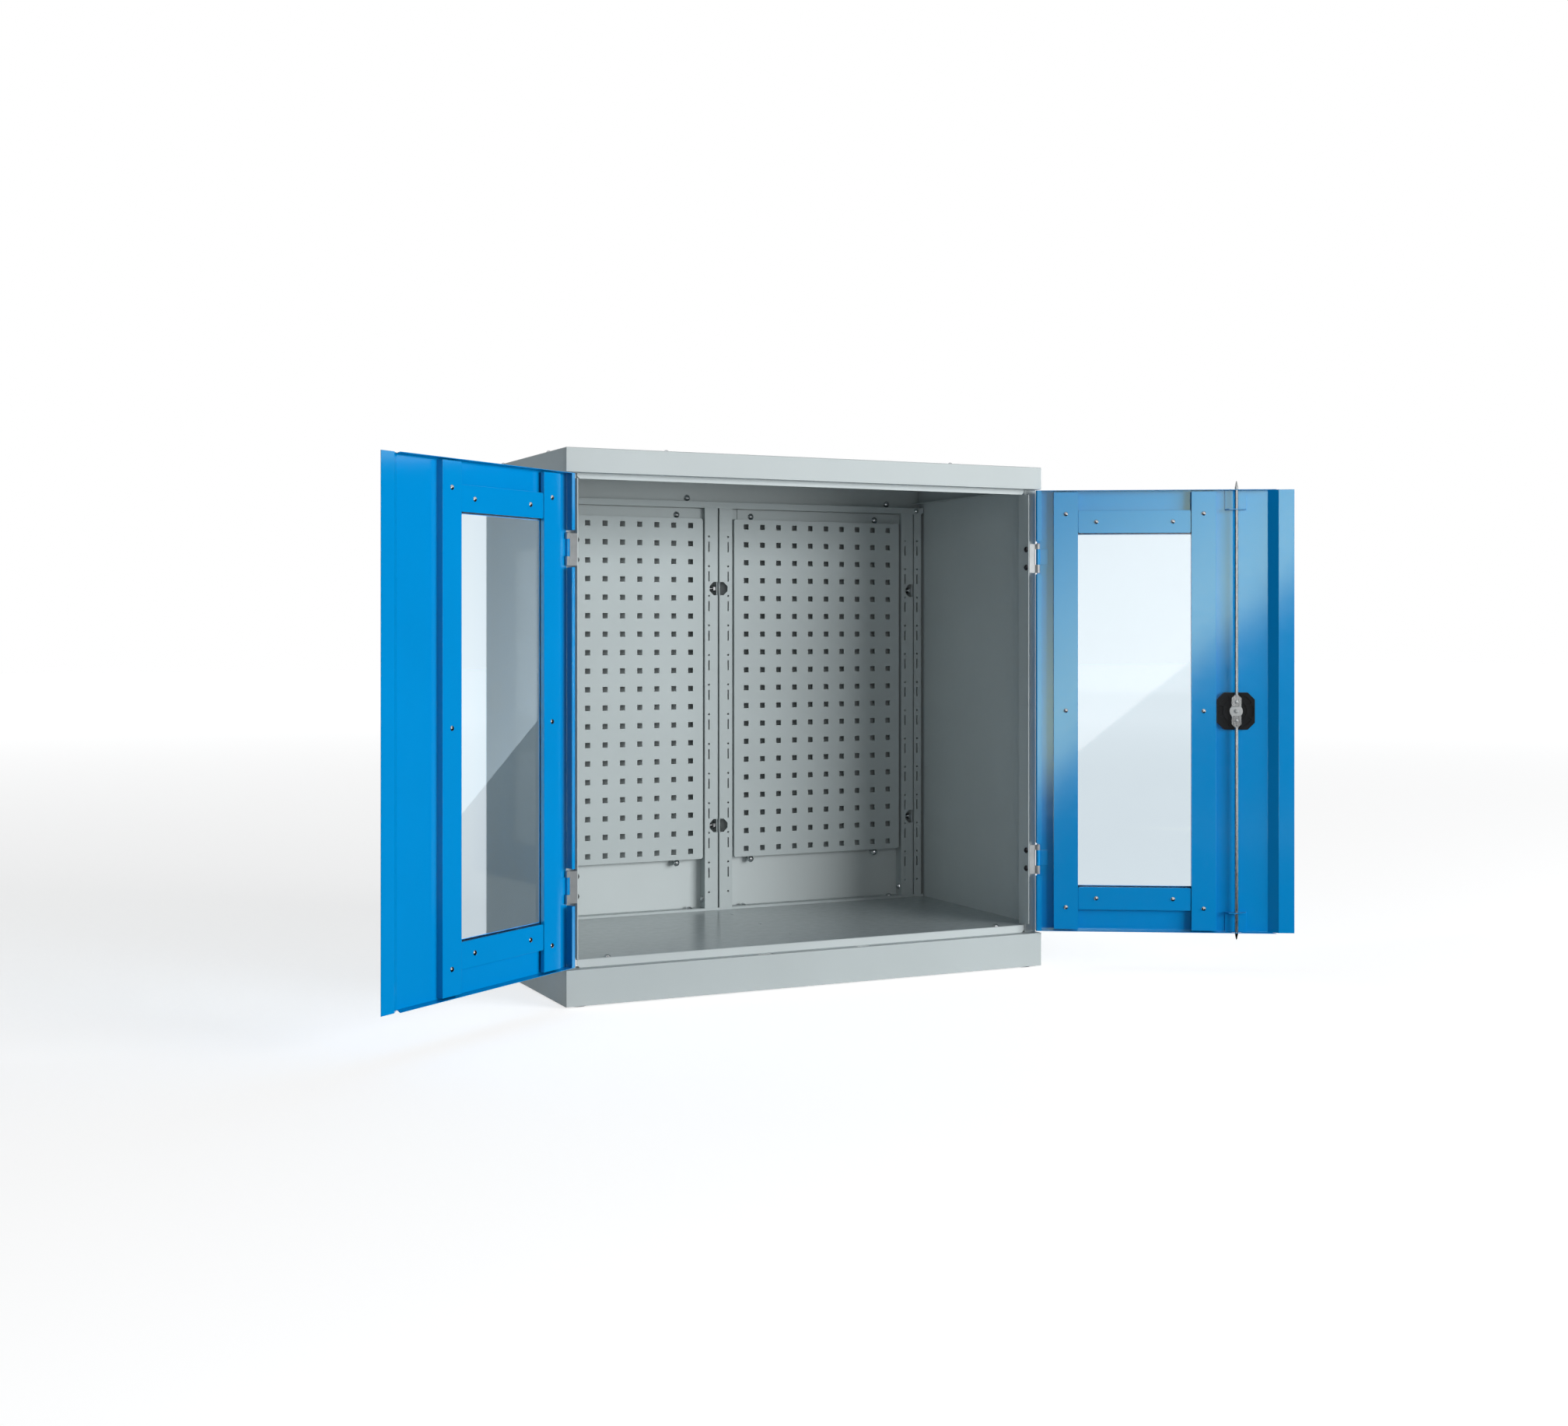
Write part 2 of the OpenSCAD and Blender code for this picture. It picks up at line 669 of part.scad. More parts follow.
module plinth() {
    t = body_sheet;
    color([0.73, 0.76, 0.77]) from_front() difference() {
        bent_box(foot_h, plinth_top, 0);
        block([-half_w + t, t, foot_h + t], [half_w - t, body_d - t, plinth_top - t]);
        block([-half_w + fold_w, ledge_d, plinth_top - 2 * t],
            [half_w - fold_w, body_d - fold_w, plinth_top + 1]);
        block([-half_w + fold_w, fold_w, foot_h - 1], [half_w - fold_w, body_d - fold_w, foot_h + 2 * t]);
        catch_slots(plinth_top);
        for (p = floor_screws_at) translate([p[0], p[1], plinth_top - 2 * t])
            cylinder(r = shank_r + drill, h = 4 * t, $fn = fine);
    }
}

module feet() {
    color([0.12, 0.12, 0.13]) for (x = [-1, 1], y = [-1, 1])
        translate([x * (half_w - foot_inset), y * (body_d / 2 - foot_inset), 0])
            cylinder(r = foot_r, h = foot_h, $fn = smooth);
}

// ---- perforated panels and uprights ----

panel_screw_xs = [panel_screw_left, panel_w - panel_screw_right];
panel_screw_zs = [-panel_screw_edge, panel_h + panel_screw_edge];

module perforated_panel(x0) {
    t = body_sheet;
    color([0.68, 0.72, 0.72]) from_front() translate([x0, 0, panel_z]) difference() {
        union() {
            slab(rack_y, rack_y + t) round_rect(panel_w, panel_h, panel_corner);
            slab(rack_y + t, rim_y) difference() {
                round_rect(panel_w, panel_h, panel_corner);
                translate([t, t]) round_rect(panel_w - 2 * t, panel_h - 2 * t, panel_corner - t);
            }
            block([step_inset, rim_y - t, panel_h - t], [panel_w - step_inset, rim_y, panel_h + panel_step]);
            slab(rim_y - t, rim_y) for (x = panel_screw_xs) {
                translate([x, -panel_screw_edge]) circle(ear_r, $fn = smooth);
                translate([x - ear_r, -panel_screw_edge]) square([2 * ear_r, panel_screw_edge + t]);
            }
        }
        slab(rack_y - 1, rack_y + t + 1) for (c = [0:hole_cols - 1], r = [0:hole_rows - 1])
            translate([hole_x_1 + c * hole_pitch, hole_row_1 + r * hole_pitch]) square(hole_w, center = true);
        for (x = panel_screw_xs, z = panel_screw_zs) translate([x, rim_y + 1, z]) facing_front()
            cylinder(r = shank_r + drill, h = 4, $fn = fine);
    }
}

module left_perforated_panel() {
    perforated_panel(-panel_x - panel_w);
}

module right_perforated_panel() {
    perforated_panel(panel_x);
}

// The channels behind the panels' upper mounting edges, and the spacers behind their ears.
module panel_rails() {
    t = body_sheet;
    inner = upright_gap / 2 + upright_w;
    z = panel_z + panel_h;
    color([0.62, 0.65, 0.66]) from_front() for (s = [-1, 1]) {
        x0 = s < 0 ? -panel_x - panel_w : panel_x;
        difference() {
            scale_x(s) bar(inner, outer_x) difference() {
                translate([rim_y, z]) square([back_y - rim_y, panel_step]);
                translate([rim_y + t, z + t]) square([back_y, panel_step - 2 * t]);
            }
            for (x = panel_screw_xs) translate([x0 + x, rim_y + t + 1, z + panel_screw_edge])
                facing_front() cylinder(r = shank_r + drill, h = 4, $fn = fine);
        }
        for (x = panel_screw_xs) translate([x0 + x, back_y, panel_z - panel_screw_edge])
            facing_front() difference() {
                cylinder(r = spacer_r, h = back_y - rim_y, $fn = smooth);
                translate([0, 0, -1]) cylinder(r = shank_r + drill, h = back_y, $fn = fine);
            }
    }
}

// A channel from x0 to x1 with its column of holes at hole_x. octagon_x is the middle of the windows
// that it shares with its neighbour. bolt_x is the wall that is bolted to the neighbour's, and footed
// says whether a screw goes into its left side near the floor.
module upright(x0, x1, hole_x, octagon_x, bolt_x, footed) {
    t = upright_t;
    color([0.70, 0.74, 0.74]) from_front() difference() {
        block([x0, rack_y, foot_z], [x1, back_y, cross_low]);
        block([x0 + t, rack_y + t, foot_z - 1], [x1 - t, back_y + 1, cross_low + 1]);
        slab(rack_y - 1, rack_y + t + 1) {
            for (k = [0:dot_count - 1]) translate([hole_x, floor_z + dot_1 + k * dot_pitch])
                circle(dot_r, $fn = fine);
            for (k = [1:dot_count - 1])
                translate([hole_x, floor_z + dot_1 + k * dot_pitch - slot_drop])
                    square([slot_w, slot_l], center = true);
            for (z = octagon_zs) translate([octagon_x, z])
                cut_rect(octagon_w, octagon_h, octagon_cut);
        }
        for (z = octagon_zs) translate([bolt_x - t - 1, bolt_y, z]) rotate([0, 90, 0])
            cylinder(r = shank_r + drill, h = 2 * t + 2, $fn = fine);
        if (footed) translate([x0 - 1, base_screw_y, base_screw_z]) rotate([0, 90, 0])
            cylinder(r = shank_r + drill, h = t + 2, $fn = fine);
    }
}

centre_edge = upright_gap / 2;
outer_end = outer_x + upright_w;
outer_hole = outer_x + dot_edge;
slim_hole = slim_x + slim_dot_edge;
far_off = 2 * body_w;

module centre_left_upright() {
    left = -centre_edge - upright_w;
    upright(left, -centre_edge, left + dot_edge, 0, -centre_edge, true);
}
module centre_right_upright() {
    right = centre_edge + upright_w;
    upright(centre_edge, right, right - dot_edge, 0, centre_edge, false);
}
module right_outer_upright() {
    upright(outer_x, outer_end, outer_hole, octagon_outer, outer_end, true);
}
module left_outer_upright() {
    upright(-outer_end, -outer_x, -outer_hole, -octagon_outer, -outer_end, false);
}
module right_slim_upright() {
    upright(slim_x, slim_x + slim_w, slim_hole, far_off, slim_x, false);
}
module left_slim_upright() {
    upright(-slim_x - slim_w, -slim_x, -slim_hole, far_off, -slim_x, false);
}

// The strip on the floor that the uprights stand on.
module lower_rail() {
    t = body_sheet;
    color([0.70, 0.74, 0.74]) from_front() difference() {
        union() {
            block([-cross_rail_half, rack_y, floor_z], [cross_rail_half, rack_y + t, foot_z]);
            block([-cross_rail_half, rack_y, foot_z - t], [cross_rail_half, flange_y, foot_z]);
        }
        for (p = floor_screws_at) translate([p[0], p[1], foot_z - t - 1])
            cylinder(r = shank_r + drill, h = t + 2, $fn = fine);
    }
}

module cross_rail() {
    t = upright_t;
    color([0.70, 0.74, 0.74]) from_front() difference() {
        union() {
            slab(rack_y, rack_y + t) polygon([[-cross_rail_half + cross_rail_cut, cross_low],
                [cross_rail_half - cross_rail_cut, cross_low],
                [cross_rail_half, cross_low + cross_rail_cut], [cross_rail_half, cross_top],
                [-cross_rail_half, cross_top], [-cross_rail_half, cross_low + cross_rail_cut]]);
            block([-cross_rail_half, rack_y, cross_top - t], [cross_rail_half, flange_y, cross_top]);
        }
        for (s = [-1, 1]) translate([s * black_screw_x, rack_y + t + 1, (cross_low + cross_top) / 2])
            facing_front() cylinder(r = shank_r + drill, h = 4, $fn = fine);
    }
}

// ---- fasteners of the body ----

module cap_screws() {
    color([0.6, 0.6, 0.62]) from_front() for (p = cap_screws_at)
        translate([p[0], p[1], body_h]) screw(cap_dome_r, cap_dome_h, stud_r, body_sheet + 1);
}

module floor_screws() {
    color([0.6, 0.6, 0.62]) from_front() for (p = floor_screws_at) {
        seat = p[1] > rack_y ? foot_z : floor_z;
        translate([p[0], p[1], seat]) screw(dome_r, dome_h, shank_r, seat - plinth_top + body_sheet + 1);
    }
}

module panel_screws() {
    color([0.6, 0.6, 0.62]) from_front() for (x0 = [-panel_x - panel_w, panel_x], x = panel_screw_xs,
        z = panel_screw_zs)
        translate([x0 + x, rim_y - body_sheet, panel_z + z]) facing_front()
            screw(dome_r, dome_h, shank_r, z > 0 ? 2 * body_sheet + 1 : back_y - rim_y + body_sheet);
}

// A bolt through the walls of two uprights, with its nut to the left and its head to the right.
module tie_bolt(x, z) {
    gap = x < 0 ? upright_gap : slim_gap;
    translate([x - upright_t, bolt_y, z]) rotate([0, -90, 0]) {
        cylinder(r = nut_r, h = nut_t, $fn = 6);
        cylinder(r = shank_r, h = nut_t + bolt_end, $fn = fine);
        translate([0, 0, -2 * upright_t - gap]) {
            cylinder(r = shank_r, h = 2 * upright_t + gap, $fn = fine);
            mirror([0, 0, 1]) dome(dome_r, dome_h);
        }
    }
}

// Bolts in the octagonal windows, and screws on the uprights' feet and on the cross rail's ends.
module upright_screws() {
    color([0.5, 0.5, 0.52]) from_front() {
        for (x = [-centre_edge, outer_end], z = octagon_zs) tie_bolt(x, z);
        for (z = octagon_zs) mirror([1, 0, 0]) tie_bolt(outer_end, z);
        for (x = [-centre_edge - upright_w, outer_x])
            translate([x, base_screw_y, base_screw_z]) rotate([0, -90, 0])
                screw(dome_r, dome_h + 1, shank_r, upright_t + 3);
        for (s = [-1, 1]) translate([s * black_screw_x, rack_y, (cross_low + cross_top) / 2])
            facing_front() screw(dome_r - 1, dome_h, shank_r, upright_t + 3);
    }
}

module back_screws() {
    color([0.6, 0.6, 0.62]) from_front() for (x = back_screws_at)
        translate([x, back_y, back_screw_z]) facing_front()
            screw(dome_r, dome_h, shank_r, body_sheet);
}

// ---- hinges ----

// Places its children at each hinge screw of the right side, with +Z towards the cabinet's middle.
module hinge_screw_places() {
    for (z = hinge_zs, s = [-1, 1]) translate([post_x, hinge_screw_y, z + s * hinge_screw_z])
        rotate([0, -90, 0]) children();
}

module hinge_leaves() {
    color([0.78, 0.79, 0.78]) from_front() for (z = hinge_zs) difference() {
        translate([0, 0, z - knuckle_h / 2]) {
            block([post_out, leaf_y, 0], [post_out + leaf_t, post_face_y, knuckle_h]);
            block([post_out, leaf_y, 0], [leaf_end, leaf_y + leaf_t, knuckle_h]);
            fixed_knuckle(0, knuckle_low_h);
            fixed_knuckle(knuckle_h - knuckle_top_h, knuckle_h);
        }
        translate([pin_x, hinge_y, z - knuckle_h]) cylinder(r = pin_r, h = 2 * knuckle_h, $fn = smooth);
        for (s = [-1, 1]) translate([post_out - 1, hinge_screw_y, z + s * hinge_screw_z])
            rotate([0, 90, 0]) cylinder(r = shank_r + drill, h = leaf_t + 2, $fn = fine);
    }
}

// A knuckle of the fixed leaf between two heights.
module fixed_knuckle(z0, z1) {
    translate([pin_x, hinge_y, z0]) cylinder(r = knuckle_r, h = z1 - z0, $fn = smooth);
    block([leaf_end - 0.5, leaf_y, z0], [pin_x, leaf_y + leaf_t, z1]);
}

module right_hinge_leaves() {
    hinge_leaves();
}
module left_hinge_leaves() {
    mirror([1, 0, 0]) hinge_leaves();
}

module hinge_pins() {
    color([0.7, 0.71, 0.72]) from_front() for (z = hinge_zs)
        translate([pin_x, hinge_y, z - knuckle_h / 2]) {
            cylinder(r = pin_r, h = knuckle_h, $fn = smooth);
            translate([0, 0, knuckle_h]) dome(knuckle_r - 0.4, 2);
        }
}

module right_hinge_pins() {
    hinge_pins();
}
module left_hinge_pins() {
    mirror([1, 0, 0]) hinge_pins();
}

module hinge_screws() {
    color([0.2, 0.2, 0.22]) from_front() for (s = [-1, 1]) scale_x(s) hinge_screw_places()
        screw(dome_r - 1, dome_h, shank_r, post_lip_t + leaf_t + 2);
}

// ---- doors ----
// A door is drawn closed with its hinge pin on the Z axis: x runs from the pin to the free edge and
// y to the inside. door_at() then hangs it on its side of the cabinet at its opening angle.

module door_at(side) {
    from_front() translate([side * pin_x, hinge_y, 0])
        rotate([0, 0, side > 0 ? right_open : -left_open]) scale_x(-side) children();
}

function lip_end(over) = pin_x + over;
function skin_end(over) = lip_end(over) - lip_w - step_w;

// A quarter bend of the doors' sheet about (x, y), open to the free edge; side is 1 towards the inside.
module bend(x, y, side) {
    r = door_bend;
    translate([x, y]) intersection() {
        difference() {
            circle(r, $fn = smooth);
            circle(r - door_sheet, $fn = smooth);
        }
        translate([-r, side > 0 ? 0 : -r]) square(r);
    }
}

// The bent sheet seen from above: return, flange, face, slanted step and lip.
module skin_profile(over, lip) {
    t = door_sheet;
    x1 = skin_end(over);
    x2 = x1 + step_w;
    y2 = skin_y + lip;
    translate([flange_x + door_bend, door_back - t]) square([door_return - door_bend, t]);
    translate([flange_x, skin_y + door_bend]) square([t, door_d - 2 * door_bend]);
    translate([flange_x + door_bend, skin_y]) square([x1 - flange_x - door_bend, t]);
    bend(flange_x + door_bend, skin_y + door_bend, -1);
    bend(flange_x + door_bend, door_back - door_bend, 1);
    polygon([[x1, skin_y], [x2, y2], [x2, y2 + t], [x1, skin_in]]);
    translate([x2, y2]) square([lip_w, t]);
}

// The folded top or bottom edge, cut obliquely before the lip.
module edge_profile(over) {
    x1 = skin_end(over);
    polygon([[flange_x + door_bend, skin_y], [x1, skin_y], [x1, skin_in],
        [x1 + step_w * edge_reach, door_back], [flange_x + door_bend, door_back],
        [flange_x, door_back - door_bend], [flange_x, skin_y + door_bend]]);
}

module door_skin(over, lip) {
    t = door_sheet;
    difference() {
        union() {
            translate([0, 0, door_z]) linear_extrude(door_h) skin_profile(over, lip);
            for (z = [door_z, door_z + door_h - t]) translate([0, 0, z])
                linear_extrude(t) edge_profile(over);
        }
        block([window_x, skin_y - 1, window_z], [window_x + window_w, skin_in + 1, window_z + window_h]);
        for (z = hinge_zs) hinge_cutout(z);
    }
}

// The gap in the hinge side's folds that clears a hinge, with round ends in the return.
module hinge_cutout(z) {
    low = z - knuckle_h / 2 - hinge_room;
    high = z + knuckle_h / 2 + hinge_room + 2;
    block([flange_x - 1, skin_y - 1, low], [flange_x + door_bend, door_back + 1, high]);
    slab(skin_in, door_back + 1) translate([flange_x - door_return, low])
        round_rect(2 * door_return + 2, high - low, cutout_r);
}

module left_door_skin() {
    color([0.0, 0.52, 0.80]) door_at(-1) door_skin(left_overlap, left_lip_y);
}

module right_door_skin() {
    color([0.0, 0.52, 0.80]) door_at(1) difference() {
        door_skin(right_overlap, right_lip_y);
        translate([lock_x, skin_in + 1, door_mid]) facing_front()
            cylinder(r = hole_r, h = door_sheet + 2, $fn = smooth);
        for (z = [door_z, door_z + door_h]) rod_hole(z);
    }
}

// A slot for a rod, a little wider than the rod because the rod leans as the lock turns.
module rod_hole(z) {
    block([lock_x - rod_slot / 2, rod_dy - rod_slot_d / 2, z - 3],
        [lock_x + rod_slot / 2, rod_dy + rod_slot_d / 2, z + 3]);
}

// The rail beside a window: a wide face, a leg on the door and a short leg on the glass.
module upright_rail(x0, glass_side) {
    z0 = door_z + rail_end;
    glass_x = glass_side > 0 ? x0 + rail_w - rail_t : x0;
    door_leg_x = glass_side > 0 ? x0 : x0 + rail_w - rail_t;
    difference() {
        translate([0, 0, z0]) linear_extrude(frame_l) {
            translate([x0, rail_top - rail_t]) square([rail_w, rail_t]);
            translate([door_leg_x, skin_in]) square([rail_t, rail_h]);
            translate([glass_x, pane_front]) square([rail_t, rail_top - pane_front]);
        }
        for (k = [-1, 0, 1]) translate([x0 + rail_w / 2, rail_top + 1, door_mid + k * rail_screw_z])
            facing_front() cylinder(r = stud_r + drill, h = rail_t + 2, $fn = fine);
    }
}

// The rail above or below a window; up is 1 above it and -1 below it.
module clamp_rail(up) {
    x0 = window_x + clamp_end_gap;
    z_in = up > 0 ? window_z + window_h + clamp_gap : window_z - clamp_gap;
    z_out = z_in + up * clamp_h;
    low = min(z_in, z_out);
    glass_z = up > 0 ? low : low + clamp_h - rail_t;
    door_leg_z = up > 0 ? low + clamp_h - rail_t : low;
    w = window_w - 2 * clamp_end_gap;
    difference() {
        union() {
            slab(clamp_top - rail_t, clamp_top) translate([x0, low]) round_rect(w, clamp_h, 3);
            block([x0 + 3, skin_in, door_leg_z], [x0 + w - 3, clamp_top - rail_t / 2, door_leg_z + rail_t]);
            block([x0 + 3, pane_front, glass_z], [x0 + w - 3, clamp_top - rail_t / 2, glass_z + rail_t]);
        }
        for (s = [-1, 1]) translate([window_x + window_w / 2 + s * clamp_screw_x, clamp_top + 1,
            low + clamp_h / 2]) facing_front() cylinder(r = stud_r + drill, h = rail_t + 2, $fn = fine);
    }
}

module door_seal() {
    slab(skin_in, pane_y) difference() {
        translate([window_x - pane_rim, window_z - pane_rim])
            square([window_w + 2 * pane_rim, window_h + 2 * pane_rim]);
        translate([window_x - 1, window_z - 1]) square([window_w + 2, window_h + 2]);
    }
}

module door_pane() {
    block([window_x - pane_rim, pane_y, window_z - pane_rim],
        [window_x + window_w + pane_rim, pane_front, window_z + window_h + pane_rim]);
}

// Studs on the door's sheet with domed nuts on the rails.
module door_screws() {
    for (x = [window_x - rail_w / 2, window_x + window_w + rail_w / 2], k = [-1, 0, 1])
        translate([x, rail_top, door_mid + k * rail_screw_z]) rotate([-90, 0, 0])
            screw(door_dome_r, door_dome_h, stud_r, rail_h);
    for (s = [-1, 1], z = [window_z - clamp_gap - clamp_h / 2, window_z + window_h + clamp_gap + clamp_h / 2])
        translate([window_x + window_w / 2 + s * clamp_screw_x, clamp_top, z]) rotate([-90, 0, 0])
            screw(door_dome_r, door_dome_h, stud_r, rail_h - clamp_lower);
}

// The doors' hinge knuckles, each with a leaf on the inside of the sheet.
module door_knuckles() {
    for (z = hinge_zs) translate([0, 0, z - knuckle_h / 2 + knuckle_low_h + knuckle_gap])
        difference() {
            union() {
                cylinder(r = knuckle_r, h = knuckle_mid_h, $fn = smooth);
                block([0, skin_in, 0], [door_leaf_l, skin_in + leaf_t, knuckle_mid_h]);
            }
            translate([0, 0, -1]) cylinder(r = pin_r + pin_clear, h = knuckle_mid_h + 2, $fn = smooth);
        }
}

blue = [0.05, 0.52, 0.82];
grey_rubber = [0.15, 0.15, 0.16];
glass = [0.75, 0.84, 0.90, 0.45];
zinc = [0.72, 0.74, 0.74];
black = [0.08, 0.08, 0.09];

module left_door_hinge_rail() { color(blue) door_at(-1) upright_rail(rail_x, 1); }
module left_door_lock_rail() { color(blue) door_at(-1) upright_rail(window_x + window_w, -1); }
module left_door_upper_clamp() { color(blue) door_at(-1) clamp_rail(1); }
module left_door_lower_clamp() { color(blue) door_at(-1) clamp_rail(-1); }
module left_door_seal() { color(grey_rubber) door_at(-1) door_seal(); }
module left_door_pane() { color(glass) door_at(-1) door_pane(); }
module left_door_screws() { color(zinc) door_at(-1) door_screws(); }
module left_door_knuckles() { color(blue) door_at(-1) door_knuckles(); }
module right_door_hinge_rail() { color(blue) door_at(1) upright_rail(rail_x, 1); }
module right_door_lock_rail() { color(blue) door_at(1) upright_rail(window_x + window_w, -1); }
module right_door_upper_clamp() { color(blue) door_at(1) clamp_rail(1); }
module right_door_lower_clamp() { color(blue) door_at(1) clamp_rail(-1); }
module right_door_seal() { color(grey_rubber) door_at(1) door_seal(); }
module right_door_pane() { color(glass) door_at(1) door_pane(); }
module right_door_screws() { color(zinc) door_at(1) door_screws(); }
module right_door_knuckles() { color(blue) door_at(1) door_knuckles(); }

// ---- lock ----
// The lock's pieces are drawn about the handle's axis: z runs from the door's outside to its inside,
// y up the door and x to the free edge, with z = 0 on the plane of the hinge pin.

module lock_at() {
    door_at(1) translate([lock_x, 0, door_mid]) rotate([-90, 0, 0]) mirror([0, 1, 0]) children();
}

// A ring between two heights.
module ring(outer, inner, z0, z1) {
    translate([0, 0, z0]) difference() {
        cylinder(r = outer, h = z1 - z0, $fn = smooth);
        translate([0, 0, -1]) cylinder(r = inner, h = z1 - z0 + 2, $fn = smooth);
    }
}

module handle_dish() {
    bore = spindle_r + drill;
    color(black) lock_at() {
        ring(dish_r, bowl_r, skin_y - 2, skin_y);
        ring(bowl_r + dish_t, bowl_r, skin_y - 0.01, bowl_y + dish_t);
        ring(bowl_r + 0.01, bore, bowl_y, bowl_y + dish_t);
    }
}

// The inner half: an octagonal plate with a ring of eight pockets and a round groove.
module lock_housing() {
    pocket = housing_top - 2.5;
    reach = housing_w * tan((45 - pocket_rib) / 2);
    color(black) lock_at() difference() {
        translate([0, 0, housing_y]) linear_extrude(housing_t) cut_rect(housing_w, housing_w, housing_cut);
        translate([0, 0, housing_y - 1])
            cylinder(r = hole_r, h = bowl_y + dish_t - housing_y + 1, $fn = smooth);
        translate([0, 0, housing_y - 2]) cylinder(r = spindle_r + drill, h = housing_t + 4, $fn = smooth);
        for (k = [0:7]) rotate(k * 45) translate([0, 0, pocket]) linear_extrude(4) intersection() {
            difference() {
                circle(pocket_out, $fn = smooth);
                circle(pocket_in, $fn = smooth);
            }
            polygon([[0, 0], [housing_w, reach], [housing_w, -reach]]);
        }
        ring(groove_out, groove_in, housing_top - 1.5, housing_top + 1);
    }
}

module handle_wing() {
    base = bowl_y - running;
    grip = skin_y - 2 - 1.5;
    tip = skin_y - handle_h;
    color(black) lock_at() difference() {
        union() {
            translate([0, 0, grip]) cylinder(r = bowl_r - 3.5, h = base - grip, $fn = smooth);
            translate([0, 0, tip]) cylinder(r1 = key_r + 3, r2 = key_r + 6, h = grip - tip, $fn = smooth);
            translate([0, 0, tip + 3]) linear_extrude(grip - tip - 3) {
                square([wing_w, wing_l - wing_w], center = true);
                for (s = [-1, 1]) translate([0, s * (wing_l - wing_w) / 2]) circle(wing_w / 2, $fn = smooth);
            }
        }
        translate([0, 0, tip - 1]) cylinder(r = key_r + drill, h = handle_h - 7, $fn = smooth);
        translate([0, 0, grip + 0.5]) cylinder(r = spindle_r, h = 20, $fn = smooth);
    }
}

module key_cylinder() {
    tip = skin_y - handle_h;
    length = handle_h - 8 - running;
    color(zinc) lock_at() difference() {
        translate([0, 0, tip - 0.8]) cylinder(r = key_r, h = length + 0.8, $fn = smooth);
        translate([-0.9, -4.5, tip - 2]) cube([1.8, 9, 6]);
    }
}

module lock_spindle() {
    top = cam_y - 0.1;
    grip = skin_y - 2 - 1.5;
    color(zinc) lock_at() {
        translate([0, 0, grip + 0.5]) cylinder(r = spindle_r, h = top - grip - 0.5, $fn = smooth);
        translate([-square_w / 2, -square_w / 2, top - 0.1]) cube([square_w, square_w, cam_t + 0.2]);
    }
}

module lock_cam() {
    color(zinc) lock_at() difference() {
        translate([0, 0, cam_y]) linear_extrude(cam_t) {
            circle(hub_r, $fn = smooth);
            square([cam_w, 2 * cam_pin_r], center = true);
            for (s = [-1, 1]) translate([0, s * cam_pin_r]) circle(cam_w / 2, $fn = smooth);
        }
        translate([-square_w / 2, -square_w / 2, cam_y - 1]) cube([square_w, square_w, cam_t + 2]);
        for (s = [-1, 1]) translate([0, s * cam_pin_r, cam_y - 1])
            cylinder(r = rivet_r, h = cam_t + 2, $fn = smooth);
    }
}

module cam_screw() {
    color(zinc) lock_at() translate([0, 0, cam_y + cam_t]) difference() {
        union() {
            cylinder(r = cam_screw_r, h = 1, $fn = smooth);
            dome(cam_screw_r, cam_screw_h);
        }
        translate([0, 0, cam_screw_h - 1]) cylinder(r = cam_screw_r / 2, h = 3, $fn = 6);
    }
}

module cam_rivets() {
    head = tab_y + cam_t + running;
    color(zinc) lock_at() for (s = [-1, 1]) translate([0, s * cam_pin_r, 0]) {
        translate([0, 0, cam_y]) cylinder(r = rivet_r, h = head - cam_y, $fn = smooth);
        translate([0, 0, head]) dome(rivet_r + 1, 1.5);
    }
}

// A rod that points up from the cam, with its flat end, neck and pointed tip.
module rod(reach) {
    hole = rivet_r + pin_clear;
    half = cam_w / 2;
    color(zinc) difference() {
        union() {
            translate([0, 0, tab_y]) linear_extrude(cam_t) polygon([[-half + tab_cut, tab_in],
                [half - tab_cut, tab_in], [half, tab_in + tab_cut], [half, tab_out], [rod_r, tab_neck],
                [-rod_r, tab_neck], [-half, tab_out], [-half, tab_in + tab_cut]]);
            translate([0, tab_neck, rod_dy]) rotate([-90, 0, 0])
                cylinder(r = rod_r, h = reach - rod_point - tab_neck, $fn = smooth);
            translate([0, reach - rod_point, rod_dy]) rotate([-90, 0, 0])
                cylinder(r1 = rod_r, r2 = rod_tip_r, h = rod_point, $fn = smooth);
        }
        translate([0, cam_pin_r, tab_y - 1]) cylinder(r = hole, h = cam_t + 2, $fn = smooth);
    }
}

module upper_rod() {
    lock_at() rod(door_h / 2 + rod_over);
}

module lower_rod() {
    lock_at() mirror([0, 1, 0]) rod(door_h / 2 + rod_under);
}

// An angle on the door's sheet whose lip carries the rod; drawn for the upper rod.
module rod_guide() {
    lip = skin_y + door_d - 0.5;
    top = door_h / 2 - door_sheet;
    color(blue) difference() {
        union() {
            block([-guide_w / 2, guide_z, skin_in], [guide_w / 2, top, skin_in + guide_t]);
            translate([0, guide_z + guide_t, 0]) rotate([90, 0, 0]) linear_extrude(guide_t)
                polygon([[-guide_w / 2, skin_in], [guide_w / 2, skin_in], [guide_w / 2 - 5, lip],
                    [-guide_w / 2 + 5, lip]]);
        }
        block([-rod_slot / 2, guide_z - 1, rod_dy - rod_slot_d / 2],
            [rod_slot / 2, guide_z + guide_t + 1, rod_dy + rod_slot_d / 2]);
    }
}

module upper_rod_guide() {
    lock_at() rod_guide();
}

module lower_rod_guide() {
    lock_at() mirror([0, 1, 0]) rod_guide();
}

